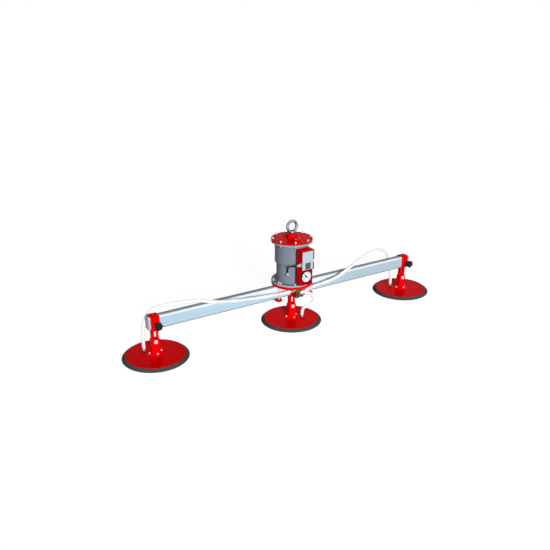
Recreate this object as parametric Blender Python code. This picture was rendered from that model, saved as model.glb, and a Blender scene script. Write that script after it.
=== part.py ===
"""Mechanical vacuum lifter: a beam with three suction cups under a piston vacuum cylinder.

The origin is on the ground under the cylinder's axis. X runs along the beam, -Y is the
side with the valve box and the gauge, and Z is up.
"""
from math import cos, pi, radians, sin

import bmesh
import bpy
from mathutils import Matrix, Vector

MM = 0.001

# Facets round a turned surface, by its size
SIDES_LARGE = 36
SIDES_MEDIUM = 22
SIDES_SMALL = 12
SIDES_HOLE = 6

# Clearances
SEAT_GAP = 0.3 * MM
SLIDE_GAP = 0.5 * MM
STOP_GAP = 0.9 * MM

# Beam and its end caps
BEAM_LENGTH = 2000 * MM
BEAM_WIDTH = 54 * MM
BEAM_HEIGHT = 80 * MM
BEAM_WALL = 4 * MM
BEAM_CORNER = 8 * MM
CAP_PLATE = 5 * MM
CAP_PLUG = 15 * MM

# Suction cups
CUP_FROM_END = 41 * MM
CUP_DIAMETER = 400 * MM
CUP_TRAVEL = 60 * MM
SEAL_HEIGHT = 18.4 * MM
SEAL_LIP_HEIGHT = 2.2 * MM
SEAL_TOP_WIDTH = 3 * MM
SEAL_RING_WIDTH = 50 * MM
SEAL_SOLE_BEVEL = 3.5 * MM
SEAL_FACE_BEVEL = 8 * MM
DISC_DIAMETER = 358 * MM
DISC_THICKNESS = 8 * MM
DISC_BOTTOM = 12.3 * MM
DISC_EDGE = 1.2 * MM
PORT_DIAMETER = 10 * MM
NIPPLE_OFFSET = 52 * MM
NIPPLE_HEX = 27 * MM
NIPPLE_HEX_HEIGHT = 6 * MM
NIPPLE_DIAMETER = 15 * MM
NIPPLE_HEIGHT = 24 * MM

# Cup bracket: a foot plate and a square tube, with the cross bolt
FOOT_SIDE = 80 * MM
FOOT_THICKNESS = 8 * MM
FOOT_CORNER = 3 * MM
FOOT_BOLT_RADIUS = 37 * MM
FOOT_HOLE = 9 * MM
TUBE_WALL = 3.5 * MM
SLOT_TUBE_WIDTH = 44 * MM
SLOT_TUBE_DEPTH = 26 * MM
SLOT_TUBE_CORNER = 2.5 * MM
SLOT_TUBE_END = 6 * MM
BRACKET_CHAMFER = 8 * MM
BOLT_COVER = 19 * MM
CROSS_BOLT_DIAMETER = 12 * MM
CROSS_BOLT_HEAD = 19 * MM
CROSS_BOLT_HEAD_HEIGHT = 5 * MM
CROSS_BOLT_WASHER = 24 * MM
CROSS_BOLT_WASHER_THICKNESS = 2 * MM

# Sleeves on the beam, the middle saddle and the clamp knobs
SLEEVE_LENGTH = 55 * MM
SLEEVE_WALL = 5 * MM
SADDLE_EAR_HEIGHT = 23 * MM
STUD_DIAMETER = 10 * MM
STUD_BOSS_DIAMETER = 16 * MM
STUD_BOSS_LENGTH = 7 * MM
KNOB_DIAMETER = 52 * MM
KNOB_THICKNESS = 20 * MM
KNOB_NECK_DIAMETER = 16 * MM
KNOB_NECK_LENGTH = 29 * MM
KNOB_CLAMP_GAP = 2 * MM
KNOB_LOBES = 7
KNOB_LOBE_DEPTH = 0.16
KNOB_LOBE_STEPS = 4

# Cylinder
BORE_DIAMETER = 186 * MM
BARREL_WALL = 5.7 * MM
JACKET_WALL = 10 * MM
FLANGE_WIDTH = 33.5 * MM
BASE_PLATE_THICKNESS = 16 * MM
LOWER_FLANGE_THICKNESS = 11.6 * MM
UPPER_FLANGE_THICKNESS = 11 * MM
LID_THICKNESS = 9.7 * MM
PLATE_EDGE = 1 * MM
CYLINDER_HEIGHT = 278.8 * MM
JACKET_HEIGHT = 133 * MM
FLANGE_BOLT_COUNT = 8
FLANGE_BOLT_EDGE = 10.2 * MM
FLANGE_BOLT_HOLE = 9 * MM

# Piston, rod, its guide in the lid, and the lifting eye
PISTON_LIFT_OFF = 6 * MM
PISTON_HEIGHT = 28 * MM
PISTON_CROWN = 20 * MM
PISTON_CLEARANCE = 0.8 * MM
SEAL_GROOVE_DEPTH = 6 * MM
SEAL_GROOVE_HEIGHT = 8 * MM
ROD_DIAMETER = 24 * MM
ROD_CHAMFER = 1 * MM
GUIDE_DIAMETER = 61 * MM
GUIDE_HEIGHT = 29 * MM
GUIDE_LUG_THICKNESS = 10 * MM
GUIDE_LUG_REACH = 74 * MM
GUIDE_LUG_WIDTH = 42 * MM
GUIDE_LUG_CORNER = 5 * MM
GUIDE_SCREW_REACH = 65 * MM
GUIDE_SCREW_SPACING = 28 * MM
GUIDE_SCREW_HOLE = 6.6 * MM
SET_SCREW_HOLE = 6 * MM
SET_SCREW_HEIGHT = 14 * MM
BUSH_WALL = 4 * MM
EYE_PARK_GAP = 4 * MM
EYE_BAR_DIAMETER = 18 * MM
EYE_INNER_DIAMETER = 50 * MM
EYE_COLLAR_DIAMETER = 38 * MM
EYE_COLLAR_HEIGHT = 19 * MM
EYE_COLLAR_SLOPE = 3 * MM
EYE_WAIST_STEP = 4 * MM
EYE_THREAD_DEPTH = 12 * MM
EYE_BAR_SIDES = 8

# Valve box with its front plate, and the gauge
BOX_WIDTH = 89 * MM
BOX_STAND_OFF = 15.7 * MM
BOX_LOWER_DEPTH = 45 * MM
BOX_STEP_DEPTH = 17 * MM
BOX_LIP = 9 * MM
BOX_BOTTOM_CLEARANCE = 16.5 * MM
BOX_TOP_CLEARANCE = 10 * MM
BOX_STEP_HEIGHT = 102 * MM
BOX_WALL = 3 * MM
BOX_SADDLE_WIDTH = 50 * MM
BOX_SADDLE_HEIGHT = 84 * MM
NOTCH_HEIGHT = 17 * MM
NOTCH_ABOVE_STEP = 46 * MM
NOTCH_DEPTH = 10.5 * MM
PLATE_RIGHT_STRIP = 11 * MM
PLATE_END_MARGIN = 5 * MM
PLATE_SHEET = 2 * MM
PLATE_CORNER = 2 * MM
PLATE_OVERLAP = 9 * MM
VENT_WIDTH = 34 * MM
VENT_HEIGHT = 38 * MM
VENT_FROM_RIGHT = 20 * MM
VENT_FROM_BOTTOM = 4.5 * MM
VENT_BAR = 2.5 * MM
VENT_ROWS = 4
VENT_COLUMNS = 3
VALVE_BLOCK_WIDTH = 46 * MM
VALVE_BLOCK_DEPTH = 34 * MM
VALVE_BLOCK_HEIGHT = 86 * MM
VALVE_BLOCK_CORNER = 2 * MM
VALVE_SPOOL_BORE = 14 * MM
GAUGE_DIAMETER = 73 * MM
GAUGE_DEPTH = 10 * MM
GAUGE_X = -5 * MM
GAUGE_HEIGHT_IN_BOX = 54.5 * MM
GAUGE_STEM_DIAMETER = 13 * MM
GAUGE_STEM_LENGTH = 14 * MM
GAUGE_RIM = 1.8 * MM
GAUGE_RECESS = 4.5 * MM
DIAL_THICKNESS = 1 * MM
PIVOT_DIAMETER = 3 * MM
NEEDLE_THICKNESS = 0.8 * MM
NEEDLE_HUB = 10 * MM
NEEDLE_REACH = 21 * MM
NEEDLE_TAIL = 9 * MM
NEEDLE_WIDTH = 3.6 * MM
NEEDLE_TIP_WIDTH = 1 * MM
NEEDLE_ANGLE = radians(135)

# Pilot line from the valve box to the cylinder
PILOT_DIAMETER = 8 * MM
PILOT_FITTING_DEPTH = 15 * MM
PILOT_FITTING_HEIGHT = 36 * MM
PILOT_BASE_DIAMETER = 30 * MM
PILOT_BASE_LENGTH = 6 * MM
PILOT_BODY_DIAMETER = 17 * MM
PILOT_BODY_LENGTH = 26 * MM
PILOT_NOSE_LENGTH = 4 * MM
PILOT_NOSE_STEP = 2 * MM
ELBOW_ANGLE = radians(223.4)
ELBOW_HEIGHT = 70 * MM
ELBOW_STEM_DIAMETER = 13 * MM
ELBOW_DIAMETER = 17 * MM
ELBOW_REACH = 15 * MM
ELBOW_LENGTH = 18 * MM
ELBOW_RISE = 9 * MM

# Clamps that hold the base plate on the beam
CLAMP_EDGE = 13.2 * MM
CLAMP_PLATE_WIDTH = 40 * MM
CLAMP_PLATE_MARGIN = 23 * MM
CLAMP_PLATE_THICKNESS = 12 * MM
CLAMP_ROD_TO_BEAM = 1 * MM
CLAMP_ROD_DIAMETER = 10 * MM
CLAMP_ROD_HOLE = 10.6 * MM
CLAMP_ROD_END = 13 * MM

# Manifold under the base plate
MANIFOLD_X = -5 * MM
MANIFOLD_Y = -75 * MM
MANIFOLD_TOP_HEX = 50 * MM
MANIFOLD_TOP_HEIGHT = 32 * MM
MANIFOLD_WIDTH = 30 * MM
MANIFOLD_FACETS = 12
MANIFOLD_HEIGHT = 70 * MM
MANIFOLD_PLUG_HEX = 27 * MM
MANIFOLD_PLUG_HEIGHT = 9 * MM
MANIFOLD_PORT = 14 * MM
MANIFOLD_ARM_DIAMETER = 24 * MM
MANIFOLD_ARM_REACH = 41 * MM
MANIFOLD_ARM_HEX = 28 * MM
MANIFOLD_ARM_HEX_LENGTH = 12 * MM
BARB_HEX = 20 * MM
BARB_DIAMETER = 15 * MM
LEFT_PORT_DROP = 27 * MM
RIGHT_PORT_DROP = 43.5 * MM
MIDDLE_PORT_DROP = 66 * MM
LEFT_BARB_LENGTH = 29 * MM
LEFT_BARB_HEX_LENGTH = 9 * MM
RIGHT_BARB_LENGTH = 6 * MM
RIGHT_BARB_TURN = radians(-30)
MIDDLE_BARB_LENGTH = 17 * MM
MIDDLE_BARB_HEX_LENGTH = 5 * MM

# Hoses
HOSE_DIAMETER = 20 * MM
HOSE_RUN_SPACING = 50 * MM
HOSE_LOOP_SPACING = 24 * MM
PILOT_POINT_SPACING = 24 * MM
TUBE_END_STRAIGHT = 5 * MM
CURVE_STEPS = 24

# The distance between the cups, from the beam's ends inwards
CUP_SPACING = BEAM_LENGTH / 2 - CUP_FROM_END

# Diameters and distances from the cylinder's axis, from the bore outwards
BARREL_DIAMETER = BORE_DIAMETER + 2 * BARREL_WALL
JACKET_DIAMETER = BARREL_DIAMETER + 2 * (SEAT_GAP + JACKET_WALL)
PLATE_DIAMETER = BARREL_DIAMETER + 2 * FLANGE_WIDTH
FLANGE_BOLT_RADIUS = PLATE_DIAMETER / 2 - FLANGE_BOLT_EDGE
CLAMP_OFFSET = PLATE_DIAMETER / 2 - CLAMP_EDGE
CLAMP_ROD_OFFSET = BEAM_WIDTH / 2 + CLAMP_ROD_TO_BEAM + CLAMP_ROD_DIAMETER / 2
BOX_BACK = JACKET_DIAMETER / 2 + SEAT_GAP + BOX_STAND_OFF
BOX_LOWER_FRONT = BOX_BACK + BOX_LOWER_DEPTH
BOX_UPPER_FRONT = BOX_LOWER_FRONT + BOX_STEP_DEPTH

# Heights, from the ground up
DISC_TOP = DISC_BOTTOM + DISC_THICKNESS
FOOT_BOTTOM = DISC_TOP + SEAT_GAP
FOOT_TOP = FOOT_BOTTOM + FOOT_THICKNESS
SLOT_TUBE_BOTTOM = FOOT_TOP + CUP_TRAVEL + STOP_GAP
SLOT_BOTTOM = SLOT_TUBE_BOTTOM + SLOT_TUBE_END
CROSS_BOLT_HEIGHT = SLOT_BOTTOM + SLIDE_GAP + CROSS_BOLT_DIAMETER / 2
SLOT_TOP = CROSS_BOLT_HEIGHT + CUP_TRAVEL + CROSS_BOLT_DIAMETER / 2 + SLIDE_GAP
BRACKET_TOP = CROSS_BOLT_HEIGHT + BOLT_COVER
SLEEVE_BOTTOM = BRACKET_TOP + CUP_TRAVEL + STOP_GAP
BEAM_BOTTOM = SLEEVE_BOTTOM + SLEEVE_WALL + SEAT_GAP
BEAM_MIDDLE = BEAM_BOTTOM + BEAM_HEIGHT / 2
BEAM_TOP = BEAM_BOTTOM + BEAM_HEIGHT
SLEEVE_TOP = BEAM_TOP + SEAT_GAP + SLEEVE_WALL
BASE_BOTTOM = BEAM_TOP + SEAT_GAP
BASE_TOP = BASE_BOTTOM + BASE_PLATE_THICKNESS
LOWER_FLANGE_TOP = BASE_TOP + SEAT_GAP + LOWER_FLANGE_THICKNESS
BARREL_TOP = BASE_TOP + SEAT_GAP + CYLINDER_HEIGHT
UPPER_FLANGE_BOTTOM = BARREL_TOP - UPPER_FLANGE_THICKNESS
LID_BOTTOM = BARREL_TOP + SEAT_GAP
LID_TOP = LID_BOTTOM + LID_THICKNESS
GUIDE_BOTTOM = LID_TOP + SEAT_GAP
GUIDE_TOP = GUIDE_BOTTOM + GUIDE_HEIGHT
EYE_BOTTOM = GUIDE_TOP + EYE_PARK_GAP
EYE_RING_RADIUS = (EYE_INNER_DIAMETER + EYE_BAR_DIAMETER) / 2
EYE_CENTRE = EYE_BOTTOM + EYE_BAR_DIAMETER / 2 + EYE_RING_RADIUS
BOX_BOTTOM = LOWER_FLANGE_TOP + BOX_BOTTOM_CLEARANCE
BOX_TOP = UPPER_FLANGE_BOTTOM - BOX_TOP_CLEARANCE
BOX_STEP = BOX_BOTTOM + BOX_STEP_HEIGHT
CLAMP_PLATE_TOP = BEAM_BOTTOM - SEAT_GAP
CLAMP_PLATE_BOTTOM = CLAMP_PLATE_TOP - CLAMP_PLATE_THICKNESS
MANIFOLD_TOP = BASE_BOTTOM - SEAT_GAP

# Free cords: the points that each hose follows, from its first fitting to its last
HOSE_LEFT_ROUTE = [
    (-60, -75, 240.2), (-76, -75, 240.2), (-124, -76, 241), (-188, -76, 245), (-309, -75, 254),
    (-424, -75, 266), (-527, -73, 281), (-608, -64, 297), (-677, -49, 312),
    (-741, -29, 316), (-803, -3, 312), (-869, 22, 304), (-929, 40, 290),
    (-970, 47, 262), (-1001, 51, 196), (-1013, 52, 112), (-1011, 52, 61), (-1011, 52, 45),
]
HOSE_LEFT_RUN_STEPS = 13
HOSE_RIGHT_ROUTE = [
    (14, -86, 223.7), (22.7, -91, 223.7), (42, -98, 230), (84, -99, 248), (193, -91, 254),
    (309, -80, 267), (423, -71, 311), (544, -60, 356), (633, -45, 372),
    (715, -20, 362), (777, 5, 340), (826, 28, 307), (871, 45, 248),
    (894, 51, 180), (906, 52, 110), (907, 52, 61), (907, 52, 45),
]
HOSE_RIGHT_RUN_STEPS = 12
HOSE_MIDDLE_ROUTE = [
    (54, -75, 201.2), (68, -75, 201.2), (87, -75, 197), (107, -73, 184), (125, -71, 159),
    (130, -68, 133), (119, -65, 113), (97, -61, 102), (74, -57, 98),
    (58, -53, 85), (52, -52, 62), (52, -52, 45),
]
PILOT_ROUTE = [
    (-75, -172, 449.9), (-82, -172, 449.9), (-94, -165, 450), (-99, -150, 448.5),
    (-97, -129, 440), (-90, -105, 425), (-83, -85, 408), (-79.9, -75.6, 393),
    (-79.7, -75.4, 383), (-79.7, -75.4, 375),
]


def clear_scene():
    """Remove whatever the open file holds."""
    for old in list(bpy.data.objects):
        bpy.data.objects.remove(old, do_unlink=True)


def make_material(name, colour, metallic, roughness):
    """A Principled material with one colour."""
    result = bpy.data.materials.new(name)
    result.use_nodes = True
    shader = result.node_tree.nodes["Principled BSDF"]
    shader.inputs["Base Color"].default_value = (*colour, 1)
    shader.inputs["Metallic"].default_value = metallic
    shader.inputs["Roughness"].default_value = roughness
    result.diffuse_color = (*colour, 1)
    return result


def add_object(name, mesh, place, material):
    """Put a finished bmesh into the scene as a named object, shaded smooth with sharp edges."""
    data = bpy.data.meshes.new(name)
    mesh.to_mesh(data)
    mesh.free()
    data.shade_smooth()
    data.set_sharp_from_angle(angle=radians(35))
    result = bpy.data.objects.new(name, data)
    bpy.context.collection.objects.link(result)
    result.matrix_world = place
    if material:
        data.materials.append(material)
    return result


def at(x=0.0, y=0.0, z=0.0):
    """A placement without a turn."""
    return Matrix.Translation((x, y, z))


def facing_front(x=0.0, y=0.0, z=0.0):
    """A placement whose own +Z points to the front, -Y."""
    return at(x, y, z) @ Matrix.Rotation(radians(90), 4, "X")


def facing_side(x=0.0, y=0.0, z=0.0, turn=0.0):
    """A placement whose own +Z points along +X, turned about the vertical by an angle."""
    return at(x, y, z) @ Matrix.Rotation(turn, 4, "Z") @ Matrix.Rotation(radians(90), 4, "Y")


def revolve(profile, segments):
    """Turn (radius, height) points about Z. A profile that starts off the axis is a ring."""
    mesh = bmesh.new()
    verts = [mesh.verts.new((radius, 0, height)) for radius, height in profile]
    edges = [mesh.edges.new(pair) for pair in zip(verts, verts[1:])]
    if profile[0][0] > 0:
        edges.append(mesh.edges.new((verts[-1], verts[0])))
    bmesh.ops.spin(
        mesh, geom=verts + edges, cent=(0, 0, 0), axis=(0, 0, 1),
        angle=2 * pi, steps=segments, use_merge=True,
    )
    bmesh.ops.remove_doubles(mesh, verts=mesh.verts, dist=0.001 * MM)
    bmesh.ops.recalc_face_normals(mesh, faces=mesh.faces)
    return mesh


def extrude(outline, depth):
    """Extrude a closed (x, y) outline up along Z by a depth."""
    mesh = bmesh.new()
    face = mesh.faces.new([mesh.verts.new((x, y, 0)) for x, y in outline])
    grown = bmesh.ops.extrude_face_region(mesh, geom=[face])
    top = [part for part in grown["geom"] if isinstance(part, bmesh.types.BMVert)]
    bmesh.ops.translate(mesh, vec=(0, 0, depth), verts=top)
    bmesh.ops.recalc_face_normals(mesh, faces=mesh.faces)
    return mesh


def loft(rings):
    """Bridge rings of equal point counts and cap both ends."""
    mesh = bmesh.new()
    loops = [[mesh.verts.new(point) for point in ring] for ring in rings]
    for lower, upper in zip(loops, loops[1:]):
        for index in range(len(lower)):
            after = (index + 1) % len(lower)
            mesh.faces.new((lower[index], lower[after], upper[after], upper[index]))
    mesh.faces.new(loops[0])
    mesh.faces.new(loops[-1])
    bmesh.ops.recalc_face_normals(mesh, faces=mesh.faces)
    return mesh


def rectangle(width, height, corner=0.0, steps=3):
    """The outline of a rectangle round its centre, with round corners."""
    if not corner:
        return [(sx * width / 2, sy * height / 2) for sx, sy in ((1, 1), (-1, 1), (-1, -1), (1, -1))]
    points = []
    for quarter, (sx, sy) in enumerate(((1, 1), (-1, 1), (-1, -1), (1, -1))):
        for step in range(steps + 1):
            angle = (quarter + step / steps) * pi / 2
            x = sx * (width / 2 - corner) + corner * cos(angle)
            y = sy * (height / 2 - corner) + corner * sin(angle)
            points.append((x, y))
    return points


def polygon(across_flats, sides):
    """The outline of a regular polygon with a flat facing +X."""
    radius = across_flats / 2 / cos(pi / sides)
    angles = [2 * pi * (step + 0.5) / sides for step in range(sides)]
    return [(radius * cos(angle), radius * sin(angle)) for angle in angles]


def rod(diameter, bottom, top, sides=SIDES_SMALL):
    """A plain round bar along Z."""
    half = diameter / 2
    return revolve([(0, bottom), (half, bottom), (half, top), (0, top)], sides)


def ring(inner, outer, bottom, top, edge=0.0, sides=SIDES_LARGE):
    """A flat ring or a tube along Z, with a small bevel on its outer edges."""
    profile = [(inner / 2, bottom), (outer / 2 - edge, bottom)]
    if edge:
        profile += [(outer / 2, bottom + edge), (outer / 2, top - edge)]
    profile += [(outer / 2 - edge, top), (inner / 2, top)]
    return revolve(profile, sides)


def drills(places, diameter, bottom, top, sides=SIDES_HOLE):
    """Several upright drills in one cutter; the facets clear the full diameter."""
    mesh = bmesh.new()
    radius = diameter / 2 / cos(pi / sides)
    for x, y in places:
        bmesh.ops.create_cone(
            mesh, cap_ends=True, segments=sides, radius1=radius, radius2=radius,
            depth=top - bottom, matrix=at(x, y, (top + bottom) / 2),
        )
    return mesh


def combine(target, tool_mesh, place, operation):
    """Cut a tool from the target, or weld it on, with a Boolean modifier."""
    tool = add_object(f"{target.name}_tool_{len(target.modifiers)}", tool_mesh, place, None)
    tool.hide_render = True
    tool.display_type = "WIRE"
    tool.hide_set(True)
    boolean = target.modifiers.new(tool.name, "BOOLEAN")
    boolean.operation = operation
    boolean.solver = "EXACT"
    boolean.object = tool


def cut(target, tool_mesh, place=Matrix.Identity(4)):
    combine(target, tool_mesh, place, "DIFFERENCE")


def weld(target, tool_mesh, place=Matrix.Identity(4)):
    combine(target, tool_mesh, place, "UNION")


def knot_slope(before, here, after):
    """The slope of the smooth curve at a knot, from the knots on both sides of it."""
    back = (here - before).length ** 0.5
    ahead = (after - here).length ** 0.5
    return (here - before) / back - (after - before) / (back + ahead) + (after - here) / ahead


def tube_points(route, spacing, gap, first=0, last=None):
    """Points a spacing apart on the smooth curve through a route, with square, set-back ends."""
    last = len(route) - 1 if last is None else last
    knots = [Vector(point) * MM for point in route]
    padded = [2 * knots[0] - knots[1]] + knots + [2 * knots[-1] - knots[-2]]
    slopes = [knot_slope(*padded[index:index + 3]) for index in range(len(knots))]
    dense = []
    for index in range(first, last):
        start, end = knots[index], knots[index + 1]
        span = (end - start).length ** 0.5
        for step in range(CURVE_STEPS):
            t = step / CURVE_STEPS
            dense.append(
                (2 * t**3 - 3 * t**2 + 1) * start + (t**3 - 2 * t**2 + t) * span * slopes[index]
                + (3 * t**2 - 2 * t**3) * end + (t**3 - t**2) * span * slopes[index + 1]
            )
    dense.append(knots[last])
    travelled = [0.0]
    for a, b in zip(dense, dense[1:]):
        travelled.append(travelled[-1] + (b - a).length)
    count = max(3, round(travelled[-1] / spacing))
    middle = []
    index = 0
    for step in range(1, count):
        target = travelled[-1] * step / count
        while travelled[index + 1] < target:
            index += 1
        share = (target - travelled[index]) / (travelled[index + 1] - travelled[index])
        middle.append(dense[index].lerp(dense[index + 1], share))
    leave = slopes[first].normalized()
    arrive = slopes[last].normalized()
    start = [knots[first] + leave * gap, knots[first] + leave * TUBE_END_STRAIGHT]
    end = [knots[last] - arrive * TUBE_END_STRAIGHT, knots[last] - arrive * gap]
    return start + middle + end


def make_tube(name, points, diameter, material):
    """A plain round tube along points, as a curve with filled ends."""
    curve = bpy.data.curves.new(name, "CURVE")
    curve.dimensions = "3D"
    curve.bevel_depth = diameter / 2
    curve.bevel_resolution = 2
    curve.use_fill_caps = True
    spline = curve.splines.new("POLY")
    spline.points.add(len(points) - 1)
    for knot, point in zip(spline.points, points):
        knot.co = (*point, 1)
    curve.materials.append(material)
    result = bpy.data.objects.new(name, curve)
    bpy.context.collection.objects.link(result)
    return result


def build_beam(paint, cap_paint):
    """The rectangular beam profile and a plugged cap at each end."""
    profile_length = BEAM_LENGTH - 2 * (CAP_PLATE + SEAT_GAP)
    outline = rectangle(BEAM_HEIGHT, BEAM_WIDTH, BEAM_CORNER)
    place = facing_side(-profile_length / 2, 0, BEAM_MIDDLE)
    beam = add_object("beam", extrude(outline, profile_length), place, paint)
    inside = rectangle(
        BEAM_HEIGHT - 2 * BEAM_WALL, BEAM_WIDTH - 2 * BEAM_WALL, BEAM_CORNER - BEAM_WALL
    )
    reach = profile_length + 2 * CAP_PLATE
    cut(beam, extrude(inside, reach), facing_side(-reach / 2, 0, BEAM_MIDDLE))
    plug = rectangle(
        BEAM_HEIGHT - 2 * (BEAM_WALL + SEAT_GAP), BEAM_WIDTH - 2 * (BEAM_WALL + SEAT_GAP),
        BEAM_CORNER - BEAM_WALL,
    )
    for side, sign in (("left", -1), ("right", 1)):
        turn = pi if sign < 0 else 0
        start = profile_length / 2 + SEAT_GAP
        cap = add_object(
            f"beam_cap_{side}", extrude(outline, CAP_PLATE),
            facing_side(sign * start, 0, BEAM_MIDDLE, turn), cap_paint,
        )
        weld(
            cap, extrude(plug, CAP_PLUG + CAP_PLATE / 2),
            facing_side(sign * (start - CAP_PLUG), 0, BEAM_MIDDLE, turn),
        )


def add_slot_tube(holder, x):
    """Weld the slotted channel under a sleeve or saddle: its web in front, open behind."""
    outline = rectangle(SLOT_TUBE_WIDTH, SLOT_TUBE_DEPTH, SLOT_TUBE_CORNER, 2)
    length = SLEEVE_BOTTOM - SLOT_TUBE_BOTTOM
    weld(holder, extrude(outline, length + SLEEVE_WALL / 2), at(x, 0, SLOT_TUBE_BOTTOM))
    inside = rectangle(SLOT_TUBE_WIDTH - 2 * TUBE_WALL, SLOT_TUBE_DEPTH)
    cut(holder, extrude(inside, length + TUBE_WALL), at(x, TUBE_WALL, SLOT_TUBE_BOTTOM - TUBE_WALL))
    slot_width = CROSS_BOLT_DIAMETER + 2 * SLIDE_GAP
    slot = rectangle(slot_width, SLOT_TOP - SLOT_BOTTOM, slot_width / 2 * 0.98, 4)
    middle = (SLOT_TOP + SLOT_BOTTOM) / 2
    cut(holder, extrude(slot, SLOT_TUBE_DEPTH), facing_front(x, 0, middle))


def build_sleeve(name, x, paint):
    """A sleeve that slides along the beam, with its clamp boss and slotted tube."""
    width = BEAM_WIDTH + 2 * (SEAT_GAP + SLEEVE_WALL)
    height = SLEEVE_TOP - SLEEVE_BOTTOM
    outer = rectangle(height, width, BEAM_CORNER + SLEEVE_WALL)
    start = x - SLEEVE_LENGTH / 2
    sleeve = add_object(name, extrude(outer, SLEEVE_LENGTH), facing_side(start, 0, BEAM_MIDDLE), paint)
    weld(
        sleeve, rod(STUD_BOSS_DIAMETER, -SLEEVE_WALL / 2, STUD_BOSS_LENGTH),
        facing_front(x, -width / 2, BEAM_MIDDLE),
    )
    add_slot_tube(sleeve, x)
    hole = rectangle(BEAM_HEIGHT + 2 * SEAT_GAP, BEAM_WIDTH + 2 * SEAT_GAP, BEAM_CORNER)
    cut(sleeve, extrude(hole, 2 * SLEEVE_LENGTH), facing_side(x - SLEEVE_LENGTH, 0, BEAM_MIDDLE))
    reach = SLEEVE_WALL + STUD_BOSS_LENGTH
    cut(
        sleeve, rod(STUD_DIAMETER + 2 * SEAT_GAP, -2 * SLEEVE_WALL, 2 * reach),
        facing_front(x, -width / 2, BEAM_MIDDLE),
    )


def build_saddle(paint):
    """The fixed middle holder: a U that hugs the beam's underside, with a slotted tube."""
    width = BEAM_WIDTH + 2 * (SEAT_GAP + SLEEVE_WALL)
    height = SLEEVE_WALL + SADDLE_EAR_HEIGHT
    outer = rectangle(height, width)
    start = -SLEEVE_LENGTH / 2
    saddle = add_object(
        "middle_saddle", extrude(outer, SLEEVE_LENGTH),
        facing_side(start, 0, SLEEVE_BOTTOM + height / 2), paint,
    )
    add_slot_tube(saddle, 0)
    hole = rectangle(BEAM_HEIGHT + 2 * SEAT_GAP, BEAM_WIDTH + 2 * SEAT_GAP, BEAM_CORNER)
    cut(saddle, extrude(hole, 2 * SLEEVE_LENGTH), facing_side(-SLEEVE_LENGTH, 0, BEAM_MIDDLE))


def build_knob(name, x, plastic):
    """A lobed clamp knob with its neck and stud, in front of a sleeve's boss."""
    boss_front = BEAM_WIDTH / 2 + SEAT_GAP + SLEEVE_WALL + STUD_BOSS_LENGTH
    neck_start = boss_front + KNOB_CLAMP_GAP
    head_start = neck_start + KNOB_NECK_LENGTH
    stud_start = BEAM_WIDTH / 2 + SEAT_GAP
    levels = [(0, 0.82), (0.2, 1), (0.75, 1), (0.92, 0.93), (1, 0.78)]
    sides = KNOB_LOBES * KNOB_LOBE_STEPS
    rings = []
    for share, scale in levels:
        points = []
        for step in range(sides):
            angle = 2 * pi * step / sides
            dip = KNOB_LOBE_DEPTH * (1 - cos(KNOB_LOBES * angle)) / 2
            radius = KNOB_DIAMETER / 2 * scale * (1 - dip)
            points.append((radius * cos(angle), radius * sin(angle), share * KNOB_THICKNESS))
        rings.append(points)
    knob = add_object(name, loft(rings), facing_front(x, -head_start, BEAM_MIDDLE), plastic)
    neck = KNOB_NECK_DIAMETER / 2
    stud = STUD_DIAMETER / 2
    stem = [
        (0, stud_start), (stud, stud_start), (stud, neck_start), (neck, neck_start),
        (neck, head_start + KNOB_THICKNESS / 4), (0, head_start + KNOB_THICKNESS / 4),
    ]
    weld(knob, revolve(stem, SIDES_SMALL), facing_front(x, 0, BEAM_MIDDLE))


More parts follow.
